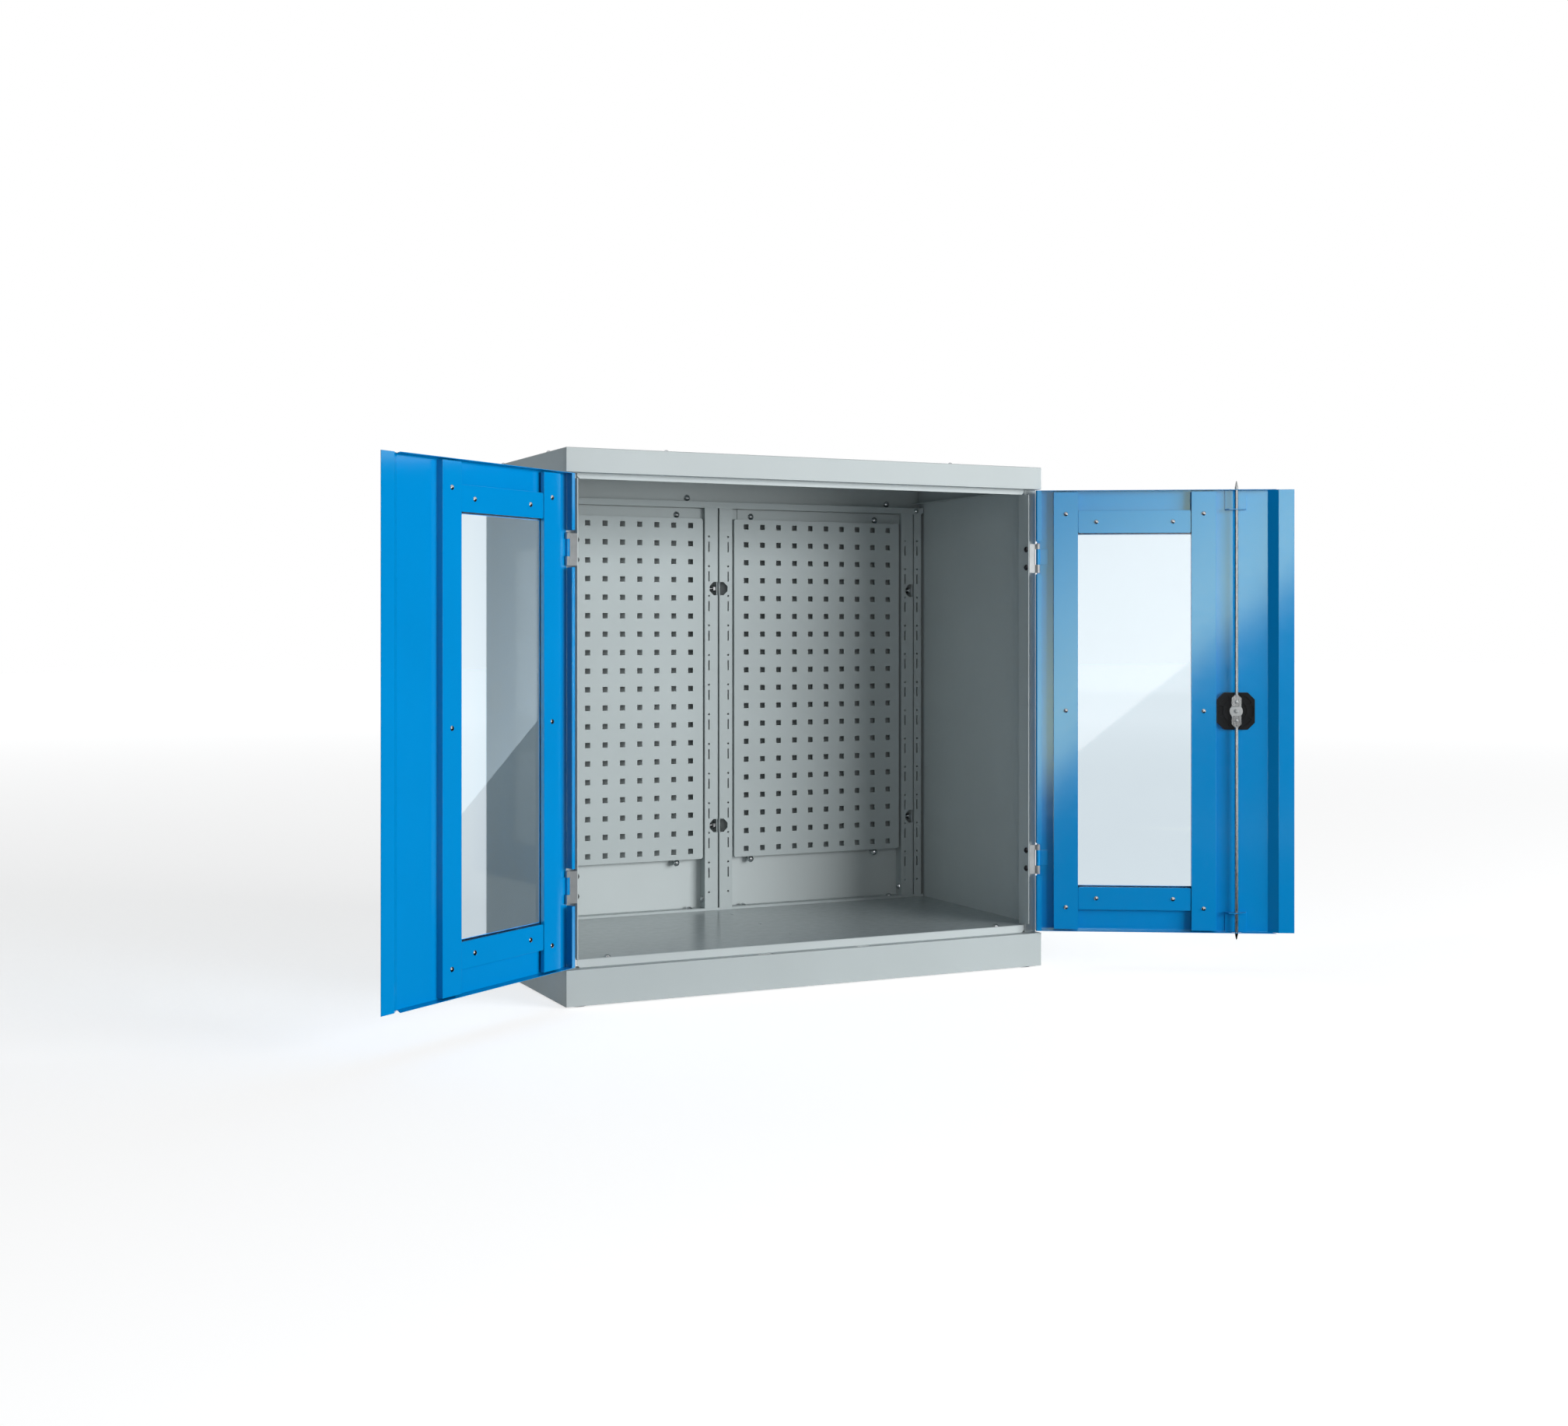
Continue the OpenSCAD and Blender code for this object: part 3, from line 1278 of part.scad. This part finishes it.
top_cap();
top_front_rail();
left_side_panel();
right_side_panel();
back_panel();
floor_panel();
floor_edges();
plinth();
feet();
left_perforated_panel();
right_perforated_panel();
panel_rails();
lower_rail();
left_outer_upright();
left_slim_upright();
centre_left_upright();
centre_right_upright();
right_outer_upright();
right_slim_upright();
cross_rail();
cap_screws();
floor_screws();
panel_screws();
upright_screws();
back_screws();
left_hinge_leaves();
right_hinge_leaves();
left_hinge_pins();
right_hinge_pins();
hinge_screws();
left_door_skin();
left_door_hinge_rail();
left_door_lock_rail();
left_door_upper_clamp();
left_door_lower_clamp();
left_door_seal();
left_door_pane();
left_door_screws();
left_door_knuckles();
right_door_skin();
right_door_hinge_rail();
right_door_lock_rail();
right_door_upper_clamp();
right_door_lower_clamp();
right_door_seal();
right_door_pane();
right_door_screws();
right_door_knuckles();
handle_dish();
lock_housing();
upper_rod_guide();
lower_rod_guide();
handle_wing();
lock_spindle();
lock_cam();
cam_screw();
cam_rivets();
key_cylinder();
upper_rod();
lower_rod();
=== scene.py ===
# %% [markdown]
# A tool cabinet of folded sheet steel: a grey body with a perforated back, two blue doors with
# glazed windows, and a rod lock on the right door. The CAD model gives every solid its exact
# place, so this lesson is about finishes, edges and light. Everything is in metres: X runs to
# the cabinet's right, Y to its back and Z up, from the middle of its footprint.

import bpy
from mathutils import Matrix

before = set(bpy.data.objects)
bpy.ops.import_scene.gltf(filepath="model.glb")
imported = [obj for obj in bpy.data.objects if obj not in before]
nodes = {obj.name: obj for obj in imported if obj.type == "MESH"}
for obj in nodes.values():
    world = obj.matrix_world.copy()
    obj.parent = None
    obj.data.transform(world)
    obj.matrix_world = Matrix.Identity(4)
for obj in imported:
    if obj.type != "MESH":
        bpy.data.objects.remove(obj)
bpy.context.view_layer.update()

import math

import bpy
from mathutils import Vector

scene = bpy.context.scene

# %% [markdown]
# The photograph was taken from the front left, a little above the cabinet's middle. The camera
# was level, which keeps the uprights parallel in the picture. Aiming it lower to centre the
# cabinet would tilt them, so a small shift of the sensor does that, as an architect's camera
# does. The place and the lens were found by fitting the body's edges to the photograph.

# %% Camera
eye = (-1.6024, -3.4844, 0.6698)
turned_right = math.radians(25.57)
level = math.pi / 2
lens = bpy.data.cameras.new("photo_camera")
lens.sensor_width = 36.0
lens.lens = 43.83
lens.shift_x = -0.00496
lens.shift_y = -0.0514
lens.clip_end = 60.0
camera = bpy.data.objects.new("photo_camera", lens)
camera.location = eye
camera.rotation_euler = (level, 0.0, -turned_right)
scene.collection.objects.link(camera)
scene.camera = camera
scene.view_settings.view_transform = "Standard"
print("camera at", eye, "lens", lens.lens)

# %% [markdown]
# Every finish is built from the same few steps, so they get small helpers. A material starts
# from Blender's Principled shader. Object coordinates are the cabinet's own metres here,
# because every node's object sits at the origin: a noise of scale 900 has grains of about a
# millimetre wherever it is used. Most of a noise's values lie between 0.3 and 0.7, so that is
# the stretch that gets mapped to a colour or a roughness.


# %% Helpers for materials
noise_low, noise_high = 0.3, 0.7


class Finish:
    """One node material in the making."""

    def __init__(self, name, colour, roughness, metallic=0.0):
        self.material = bpy.data.materials.new(name)
        self.material.use_nodes = True
        self.tree = self.material.node_tree
        self.shader = self.tree.nodes["Principled BSDF"]
        self.output = self.tree.nodes["Material Output"]
        self.constant("Base Color", (*colour, 1.0))
        self.constant("Roughness", roughness)
        self.constant("Metallic", metallic)
        self.place = self.add("ShaderNodeTexCoord").outputs["Object"]

    def constant(self, socket, value):
        """A value that is the same all over, on the shader's own socket."""
        self.shader.inputs[socket].default_value = value

    def add(self, kind, **values):
        node = self.tree.nodes.new(kind)
        for name, value in values.items():
            setattr(node, name, value)
        return node

    def join(self, start, end):
        self.tree.links.new(start, end)

    def stretched(self, scale):
        """Object coordinates stretched by a scale along each axis."""
        mapping = self.add("ShaderNodeMapping")
        mapping.inputs["Scale"].default_value = scale
        self.join(self.place, mapping.inputs["Vector"])
        return mapping.outputs["Vector"]

    def noise(self, scale, detail, place=None):
        node = self.add("ShaderNodeTexNoise")
        node.inputs["Scale"].default_value = scale
        node.inputs["Detail"].default_value = detail
        self.join(place or self.place, node.inputs["Vector"])
        return node.outputs["Fac"]

    def spread(self, value, low, high, start=noise_low, end=noise_high):
        """A value mapped from start..end to low..high."""
        node = self.add("ShaderNodeMapRange")
        numbers = {"From Min": start, "From Max": end, "To Min": low, "To Max": high}
        for socket, number in numbers.items():
            node.inputs[socket].default_value = number
        self.join(value, node.inputs["Value"])
        return node.outputs["Result"]

    def tones(self, value, dark, light):
        """Colours from dark to light, driven by a value."""
        ramp = self.add("ShaderNodeValToRGB")
        stops = zip(ramp.color_ramp.elements, (noise_low, noise_high), (dark, light))
        for stop, position, colour in stops:
            stop.position = position
            stop.color = (*colour, 1.0)
        self.join(value, ramp.inputs["Fac"])
        self.join(ramp.outputs["Color"], self.shader.inputs["Base Color"])

    def gloss(self, value, low, high):
        """Roughness from low to high, driven by a value."""
        self.join(self.spread(value, low, high), self.shader.inputs["Roughness"])

    def bump(self, value, depth, strength, edge=0.0):
        """A relief from a value, on edges that shade as if rounded by a radius."""
        node = self.add("ShaderNodeBump")
        node.inputs["Distance"].default_value = depth
        node.inputs["Strength"].default_value = strength
        self.join(value, node.inputs["Height"])
        if edge > 0.0:
            rounded = self.add("ShaderNodeBevel", samples=4)
            rounded.inputs["Radius"].default_value = edge
            self.join(rounded.outputs["Normal"], node.inputs["Normal"])
        self.join(node.outputs["Normal"], self.shader.inputs["Normal"])


def shades(colour, amount):
    """A colour a little darker and a little lighter."""
    darker = [channel * (1 - amount) for channel in colour]
    lighter = [min(1.0, channel * (1 + amount)) for channel in colour]
    return darker, lighter


print("grey and its shades:", shades((0.5, 0.5, 0.5), 0.1))

# %% [markdown]
# The body and doors are powder coated: a baked, slightly rippled skin known as orange peel. Its
# ripples are a few millimetres wide and only a few hundredths of a millimetre deep, which is
# enough to break up reflections. The colour drifts a little between thick and thin powder, and
# so does the gloss.
#
# Folded sheet has a small radius at every bend, and light catches on it. The CAD model has the
# large bends; the small ones could be cut with a Bevel modifier, but on perforated sheet that
# leaves slivers, so a Bevel node rounds only the shading.
#
# The greys are satin: rough, with a weak mirror image. The floor plate is darker and smoother.
# The doors are glossy, and their blue turns towards green where the light shines in it, so
# their mirror image is strong and its tint leaves out some of the blue.


# %% Powder coats
colour_patch = 4.0  # patches about 250 mm wide
colour_drift = 0.03
gloss_patch = 60.0  # patches about 17 mm wide
peel = 420.0  # ripples about 2.4 mm wide
peel_depth = 0.00002
plain_sheen = (1.0, 1.0, 1.0)
bend_radius = 0.0008
punched_radius = 0.0005


def powder_coat(name, colour, rough, mirror=0.2, sheen=plain_sheen, edge=bend_radius):
    """Painted steel. rough is its lowest and highest roughness."""
    finish = Finish(name, colour, rough[0])
    finish.tones(finish.noise(colour_patch, detail=4.0), *shades(colour, colour_drift))
    finish.gloss(finish.noise(gloss_patch, detail=2.0), *rough)
    finish.bump(finish.noise(peel, detail=2.0), peel_depth, strength=0.4, edge=edge)
    finish.constant("Specular IOR Level", mirror)
    finish.constant("Specular Tint", (*sheen, 1.0))
    return finish.material


satin = (0.40, 0.46)
body_grey = powder_coat("body_grey", (0.46, 0.505, 0.51), satin)
# The plinth and rack greys are the body's grey darkened: painted shade for less light low down
# and inside.
plinth_grey_painted_shade = powder_coat("plinth_grey_painted_shade", (0.41, 0.455, 0.46), satin)
rack_grey = powder_coat("rack_grey", (0.395, 0.44, 0.445), satin, edge=punched_radius)
floor_grey = powder_coat("floor_grey", (0.36, 0.40, 0.41), (0.20, 0.26), mirror=0.5)
door_blue = powder_coat(
    "door_blue", (0.0, 0.232, 0.575), (0.13, 0.16), mirror=1.0, sheen=(0.85, 1.0, 0.55)
)
print("powder coats:", body_grey.name, plinth_grey_painted_shade.name, rack_grey.name, floor_grey.name)
print("glossy coat:", door_blue.name)

# %% [markdown]
# Rods, cam, hinge leaves and screws are zinc plated, and the hinges' screws are blackened. A
# noise gives the cloudy patches of the plating, and a second one, stretched along the rods, the
# grain of drawn wire. The hinge leaves and the cam wear a milky film that scatters light as
# paint does, so they are only partly metallic: as full metal they would mirror their dark
# surroundings and turn black.


# %% Metals
cloud = 35.0  # patches about 30 mm wide
cloud_contrast = 0.12
grain_scale = 18.0
grain_depth = 0.00002
even_grain = (40.0, 40.0, 40.0)
drawn_grain = (60.0, 60.0, 3.0)


def plated(name, colour, rough, grain=even_grain, metallic=1.0):
    """Plated steel. rough is its lowest and highest roughness."""
    finish = Finish(name, colour, rough[0], metallic)
    finish.tones(finish.noise(cloud, detail=5.0), *shades(colour, cloud_contrast))
    lines = finish.noise(grain_scale, detail=4.0, place=finish.stretched(grain))
    finish.gloss(lines, *rough)
    finish.bump(lines, grain_depth, strength=0.4)
    return finish.material


zinc = plated("zinc_plate", (0.44, 0.46, 0.465), (0.30, 0.42), metallic=0.6)
drawn_rod = plated("drawn_rod", (0.42, 0.435, 0.44), (0.20, 0.32), drawn_grain)
screw_steel = plated("screw_steel", (0.50, 0.52, 0.53), (0.16, 0.28))
dark_steel = plated("dark_steel", (0.05, 0.05, 0.055), (0.20, 0.32))
print("metals:", zinc.name, drawn_rod.name, screw_steel.name, dark_steel.name)

# %% [markdown]
# The lock's shells are injection moulded with a fine spark-eroded grain, the feet are plain
# polyethylene and the glazing strip is black rubber. All three are dull, so their mirror image
# is held low, and a noise for each gives the grain its own size and depth.


# %% Plastics and rubber
tone_patch = 25.0  # patches about 40 mm wide
tone_contrast = 0.2
worn_patch = 90.0  # patches about 11 mm wide
mould_radius = 0.0006
dull_mirror = 0.2


def moulded(name, colour, rough, grain, depth):
    """Plastic or rubber. rough is its lowest and highest roughness."""
    finish = Finish(name, colour, rough[0])
    finish.tones(finish.noise(tone_patch, detail=3.0), *shades(colour, tone_contrast))
    finish.gloss(finish.noise(worn_patch, detail=2.0), *rough)
    finish.bump(finish.noise(grain, detail=1.0), depth, strength=0.6, edge=mould_radius)
    finish.constant("Specular IOR Level", dull_mirror)
    return finish.material


lock_black = moulded("lock_black", (0.005, 0.006, 0.007), (0.30, 0.40), 1800.0, 0.00003)
foot_black = moulded("foot_black", (0.02, 0.02, 0.02), (0.5, 0.6), 700.0, 0.00005)
seal_rubber = moulded("seal_rubber", (0.018, 0.018, 0.02), (0.6, 0.75), 900.0, 0.00004)
print("plastics:", lock_black.name, foot_black.name, seal_rubber.name)

# %% [markdown]
# The windows are 4 mm glass. Real glass is refractive, so the shader is Principled with full
# transmission and a faint blue tint. Light from the lamps has to reach what is behind it, and
# the usual trick is to let shadow rays through a Transparent shader. A very slow noise gives the
# small waviness of a real sheet. The trace of roughness is there for light linking, which is
# used further down: a perfectly smooth surface takes no notice of it.


# %% Glass
def window_glass(name, tint):
    finish = Finish(name, tint, roughness=0.03)
    finish.constant("Transmission Weight", 1.0)
    finish.constant("IOR", 1.4)
    finish.tones(finish.noise(5.0, detail=2.0), *shades(tint, 0.006))
    finish.bump(finish.noise(3.0, detail=1.0), depth=0.0004, strength=0.1)
    clear = finish.add("ShaderNodeBsdfTransparent")
    clear.inputs["Color"].default_value = (*tint, 1.0)
    mix = finish.add("ShaderNodeMixShader")
    finish.join(finish.add("ShaderNodeLightPath").outputs["Is Shadow Ray"], mix.inputs["Fac"])
    finish.join(finish.shader.outputs["BSDF"], mix.inputs[1])
    finish.join(clear.outputs["BSDF"], mix.inputs[2])
    finish.join(mix.outputs["Shader"], finish.output.inputs["Surface"])
    return finish.material


glass = window_glass("window_glass", (0.72, 0.81, 0.865))
print("glass:", glass.name)

# %% [markdown]
# Each CAD node now gets its finish. Nodes are grouped by what they are made of on the real
# cabinet, so a change of paint is one line. The plinth and the perforated back with its
# uprights are the body's grey made a little darker, as painted shade for the dimmer light low
# down and inside the cabinet.

# %% Dress the CAD nodes
doors = ("left_door_", "right_door_")
painted_pieces = ("skin", "hinge_rail", "lock_rail", "upper_clamp", "lower_clamp", "knuckles")
dress = {
    body_grey: [
        "top_cap", "top_front_rail", "left_side_panel", "right_side_panel", "back_panel",
        "floor_edges",
    ],
    plinth_grey_painted_shade: ["plinth"],
    rack_grey: [
        "left_perforated_panel", "right_perforated_panel", "panel_rails", "lower_rail",
        "left_outer_upright", "left_slim_upright", "centre_left_upright",
        "centre_right_upright", "right_outer_upright", "right_slim_upright", "cross_rail",
    ],
    floor_grey: ["floor_panel"],
    door_blue: [
        *(door + piece for door in doors for piece in painted_pieces),
        "upper_rod_guide", "lower_rod_guide",
    ],
    glass: [door + "pane" for door in doors],
    seal_rubber: [door + "seal" for door in doors],
    screw_steel: [
        "left_door_screws", "right_door_screws", "cap_screws", "floor_screws", "panel_screws",
        "upright_screws", "back_screws",
    ],
    zinc: [
        "left_hinge_leaves", "right_hinge_leaves", "left_hinge_pins", "right_hinge_pins",
        "lock_spindle", "lock_cam", "cam_screw", "cam_rivets", "key_cylinder",
    ],
    drawn_rod: ["upper_rod", "lower_rod"],
    dark_steel: ["hinge_screws"],
    lock_black: ["handle_dish", "lock_housing", "handle_wing"],
    foot_black: ["feet"],
}
for material, names in dress.items():
    for name in names:
        mesh = nodes[name].data
        mesh.materials.clear()
        mesh.materials.append(material)
bare = set(nodes) - {name for names in dress.values() for name in names}
print("dressed", len(nodes) - len(bare), "nodes, bare:", sorted(bare))

# %% [markdown]
# The floor is a large pale sheet, so large that its rim lies far behind the cabinet. It could
# be bent up into a backdrop, but a flat one looks the same from every side.

# %% Floor
floor_reach = 30.0
floor_mesh = bpy.data.meshes.new("studio_floor")
floor_corners = [
    (-floor_reach, -floor_reach, 0.0), (floor_reach, -floor_reach, 0.0),
    (floor_reach, floor_reach, 0.0), (-floor_reach, floor_reach, 0.0),
]
floor_mesh.from_pydata(floor_corners, [], [(0, 1, 2, 3)])
studio_floor = bpy.data.objects.new("studio_floor", floor_mesh)
scene.collection.objects.link(studio_floor)
print("floor reaches", floor_reach, "m")

# %% [markdown]
# The floor has to look white as the photograph's does and still hold a soft shadow. More light
# would make it white, but it would flood the object too. Blender can tell by which kind of ray
# a surface is seen, so the floor glows a little for the eye only, and keeps a plain pale paint
# for everything else. What is seen in metal or through glass counts with the eye, or the
# windows would show a dark room. Far away the lamps no longer reach the floor, so the glow grows
# with the distance from the cabinet and the horizon disappears.


# %% Floor paint
def seen_directly(tree):
    """1 for rays from the camera, from a mirror or through glass."""
    path = tree.nodes.new("ShaderNodeLightPath")
    seen = path.outputs["Is Camera Ray"]
    for extra in ("Is Glossy Ray", "Is Transmission Ray"):
        either = tree.nodes.new("ShaderNodeMath")
        either.operation = "MAXIMUM"
        tree.links.new(seen, either.inputs[0])
        tree.links.new(path.outputs[extra], either.inputs[1])
        seen = either.outputs[0]
    return seen


glow_here, glow_far = 0.74, 0.955
glow_grows_from, glow_grows_to = 1.2, 11.0
floor_paint = Finish("floor_paint", (0.60, 0.60, 0.60), 0.9)
floor_paint.constant("Specular IOR Level", 0.1)
distance = floor_paint.add("ShaderNodeVectorMath", operation="LENGTH")
floor_paint.join(floor_paint.place, distance.inputs[0])
glow_at_distance = floor_paint.spread(
    distance.outputs["Value"], glow_here, glow_far, glow_grows_from, glow_grows_to
)
glow_level = floor_paint.add("ShaderNodeMath", operation="MULTIPLY")
floor_paint.join(glow_at_distance, glow_level.inputs[0])
floor_paint.join(seen_directly(floor_paint.tree), glow_level.inputs[1])
glow = floor_paint.add("ShaderNodeEmission")
floor_paint.join(glow_level.outputs[0], glow.inputs["Strength"])
lit_and_glow = floor_paint.add("ShaderNodeAddShader")
floor_paint.join(floor_paint.shader.outputs["BSDF"], lit_and_glow.inputs[0])
floor_paint.join(glow.outputs[0], lit_and_glow.inputs[1])
floor_paint.join(lit_and_glow.outputs[0], floor_paint.output.inputs["Surface"])
floor_mesh.materials.append(floor_paint.material)
print("floor glows", glow_here, "near the cabinet and", glow_far, "far away")

# %% [markdown]
# The air around the cabinet is white to the eye, and gives the steel only a little cool light,
# so that shaded faces turn slightly blue as they do in the photograph.

# %% Surrounding white
world = bpy.data.worlds.new("studio")
world.use_nodes = True
scene.world = world
air = world.node_tree
white = air.nodes["Background"]
white.inputs["Color"].default_value = (1.0, 1.0, 1.0, 1.0)
white.inputs["Strength"].default_value = 1.0
cool = air.nodes.new("ShaderNodeBackground")
cool.inputs["Color"].default_value = (0.80, 0.93, 1.0, 1.0)
cool.inputs["Strength"].default_value = 0.06
cool_or_white = air.nodes.new("ShaderNodeMixShader")
air.links.new(seen_directly(air), cool_or_white.inputs["Fac"])
air.links.new(cool.outputs[0], cool_or_white.inputs[1])
air.links.new(white.outputs[0], cool_or_white.inputs[2])
air.links.new(cool_or_white.outputs[0], air.nodes["World Output"].inputs["Surface"])
print("air lights the steel with a strength of", cool.inputs["Strength"].default_value)

# %% [markdown]
# One large softbox lights the cabinet from the front right. It makes the left door the brightest
# blue, leaves the right wall and the slanted step of the right door in shade, and lets the right
# wall throw its soft shadow over the back. A weak one beside the camera opens the shadows.
#
# Two more stand on the left and behind, so that the sides, the top and the back are not black.
# Light linking gives them a list of receivers, here the cabinet's nodes, so they leave the floor
# and its shadow alone. A last one, for the left door's skin only, brings up its outer face.
#
# None of them shows in gloss. The reflections are made further down, where they can be shaped.


# %% Softboxes
def softbox(name, place, size, power, target=(0.0, 0.0, 0.5), colour=(1.0, 1.0, 1.0)):
    """A rectangular lamp, its size in metres and its power in watts, that faces a target."""
    lamp = bpy.data.lights.new(name, "AREA")
    lamp.shape = "RECTANGLE"
    lamp.size, lamp.size_y = size
    lamp.energy = power
    lamp.color = colour
    holder = bpy.data.objects.new(name, lamp)
    holder.location = place
    aim = Vector(target) - Vector(place)
    holder.rotation_euler = aim.to_track_quat("-Z", "Y").to_euler()
    holder.visible_glossy = False
    scene.collection.objects.link(holder)
    return holder


def only_for(lamp, members):
    """Lets a lamp or a glowing card light some objects and nothing else."""
    group = bpy.data.collections.new(lamp.name + "_receivers")
    for member in members:
        group.objects.link(member)
    lamp.light_linking.receiver_collection = group


cool_white = (0.78, 0.94, 1.0)
left_door_outside = (-0.75, -0.35, 0.5)
softbox("key_softbox", (3.8, -5.5, 1.4), (4.2, 2.4), 525.0)
softbox("fill_softbox", (-1.4, -4.3, 1.2), (1.8, 1.6), 24.0)
left_lamp = softbox("left_softbox", (-3.5, 1.5, 1.2), (2.0, 1.6), 24.0, colour=cool_white)
back_lamp = softbox("back_softbox", (1.2, 3.6, 3.6), (2.4, 2.0), 170.0)
door_lamp = softbox("door_back_softbox", (-2.6, 0.9, 0.7), (1.0, 1.2), 55.0, left_door_outside)
only_for(left_lamp, nodes.values())
only_for(back_lamp, nodes.values())
only_for(door_lamp, [nodes["left_door_skin"]])
print("softboxes:", sorted(lamp.name for lamp in bpy.data.lights))

# %% [markdown]
# In the photograph a pale sheen with a slanting edge lies over the right door and both panes. It
# is the reflection of a softbox that fades away from its lower edge. A studio would stand such
# a card and black flags round the object; here they are flat sheets that only mirror-like rays
# see. A standing sheet is drawn in its own plane: `along` is its sideways direction on the
# floor, and each corner is a distance along it and a height.


# %% Sheets for reflections
def sheet(name, points, material):
    """A flat card or flag that only mirror-like rays see."""
    mesh = bpy.data.meshes.new(name)
    mesh.from_pydata(points, [], [tuple(range(len(points)))])
    mesh.materials.append(material)
    card = bpy.data.objects.new(name, mesh)
    scene.collection.objects.link(card)
    card.visible_camera = card.visible_diffuse = card.visible_shadow = False
    card.visible_transmission = card.visible_volume_scatter = False
    return card


def standing(centre, along, corners):
    """The points of a standing sheet, from its corners as distances along it and heights."""
    return [
        (centre[0] + distance * along[0], centre[1] + distance * along[1], height)
        for distance, height in corners
    ]


def oblong(left, right, low, high):
    return [(left, low), (right, low), (right, high), (left, high)]


print("a sheet of 1 x 2 m:", standing((0.0, 0.0), (1.0, 0.0), oblong(-0.5, 0.5, 0.0, 2.0)))

# %% [markdown]
# A card's light is strongest along its lower edge and fades upwards. The distance from the edge
# is a dot product: the point minus a point of the edge, times the direction that the light
# fades in. Two points of the edge, as distances along the card and heights, give its slope.


# %% Glowing cards
faded_share = 0.25  # of the light is left where the fading ends


def fading_light(name, edge_point, direction, fade, strength, colour):
    """Light that is strongest at a slanted line and fades upwards from it."""
    finish = Finish(name, (0.0, 0.0, 0.0), 1.0)
    from_edge = finish.add("ShaderNodeVectorMath", operation="SUBTRACT")
    from_edge.inputs[1].default_value = edge_point
    finish.join(finish.place, from_edge.inputs[0])
    away = finish.add("ShaderNodeVectorMath", operation="DOT_PRODUCT")
    away.inputs[1].default_value = direction
    finish.join(from_edge.outputs["Vector"], away.inputs[0])
    level = finish.spread(
        away.outputs["Value"], strength, faded_share * strength, start=0.0, end=fade
    )
    glow = finish.add("ShaderNodeEmission")
    glow.inputs["Color"].default_value = (*colour, 1.0)
    finish.join(level, glow.inputs["Strength"])
    finish.join(glow.outputs[0], finish.output.inputs["Surface"])
    return finish.material


def fading_card(name, centre, along, edge, sides, top, fade, strength, colour=(1.0, 1.0, 1.0)):
    """A standing card with a slanting lower edge through two points."""
    (start, start_height), (end, end_height) = edge
    slope = (end_height - start_height) / (end - start)
    lower = [(side, start_height + slope * (side - start)) for side in sides]
    upper = [(side, top) for side in reversed(sides)]
    edge_point = standing(centre, along, edge)[0]
    fades_towards = (-slope * along[0], -slope * along[1], 1.0)
    light = fading_light(name + "_light", edge_point, fades_towards, fade, strength, colour)
    print(name, "slope", round(slope, 3))
    return sheet(name, standing(centre, along, lower + upper), light)


# %% [markdown]
# The right door's card stands in front of the cabinet, where the door and its pane mirror it.
# Black flags behind it and on the left keep the white surroundings out of the doors' gloss,
# and one that lies just above the floor does the same for the bright floor.

# %% Card and flags for the right door
flag_black = Finish("flag_black", (0.0, 0.0, 0.0), 1.0)
flag_black.constant("Specular IOR Level", 0.0)
right_along = (0.9165, -0.4)
right_edge = ((-0.2493, 0.2941), (0.1013, 0.5821))
fading_card(
    "right_card", (-0.18, -2.3863), right_along, right_edge,
    sides=(-1.1, 0.95), top=2.0, fade=0.85, strength=4.2,
)
to_the_back = (0.0, 1.0)
flags = {
    "right_flag": standing((-0.38, -2.8446), right_along, oblong(-1.5, 1.3, 0.01, 2.4)),
    "far_left_flag": standing((-1.7, 0.0), to_the_back, oblong(-2.4, 0.2, 0.01, 2.4)),
    "floor_flag": [(x, y, 0.004) for x, y in oblong(-1.7, 1.6, -2.84, -0.30)],
}
for name, points in flags.items():
    sheet(name, points, flag_black.material)
print("flags:", sorted(flags))

# %% [markdown]
# The left pane mirrors the space across the cabinet's opening, where the right door would spoil
# the sheen. Its card therefore stands close by, in the plane x = -0.40, with a black flag right
# behind it. The card's light is linked to the pane alone, since the blue paint around it shows
# no such sheen.

# %% Card and flag for the left door
left_edge = ((-0.4380, 0.3397), (-0.3004, 0.5104))
left_card = fading_card(
    "left_card", (-0.40, 0.0), to_the_back, left_edge,
    sides=(-0.472, -0.278), top=0.96, fade=0.60, strength=4.4, colour=(0.75, 0.9, 1.0),
)
only_for(left_card, [nodes["left_door_pane"]])
left_flag_points = standing((-0.39, 0.0), to_the_back, oblong(-1.0, -0.272, 0.02, 0.985))
sheet("left_flag", left_flag_points, flag_black.material)
print("left card lights", nodes["left_door_pane"].name)
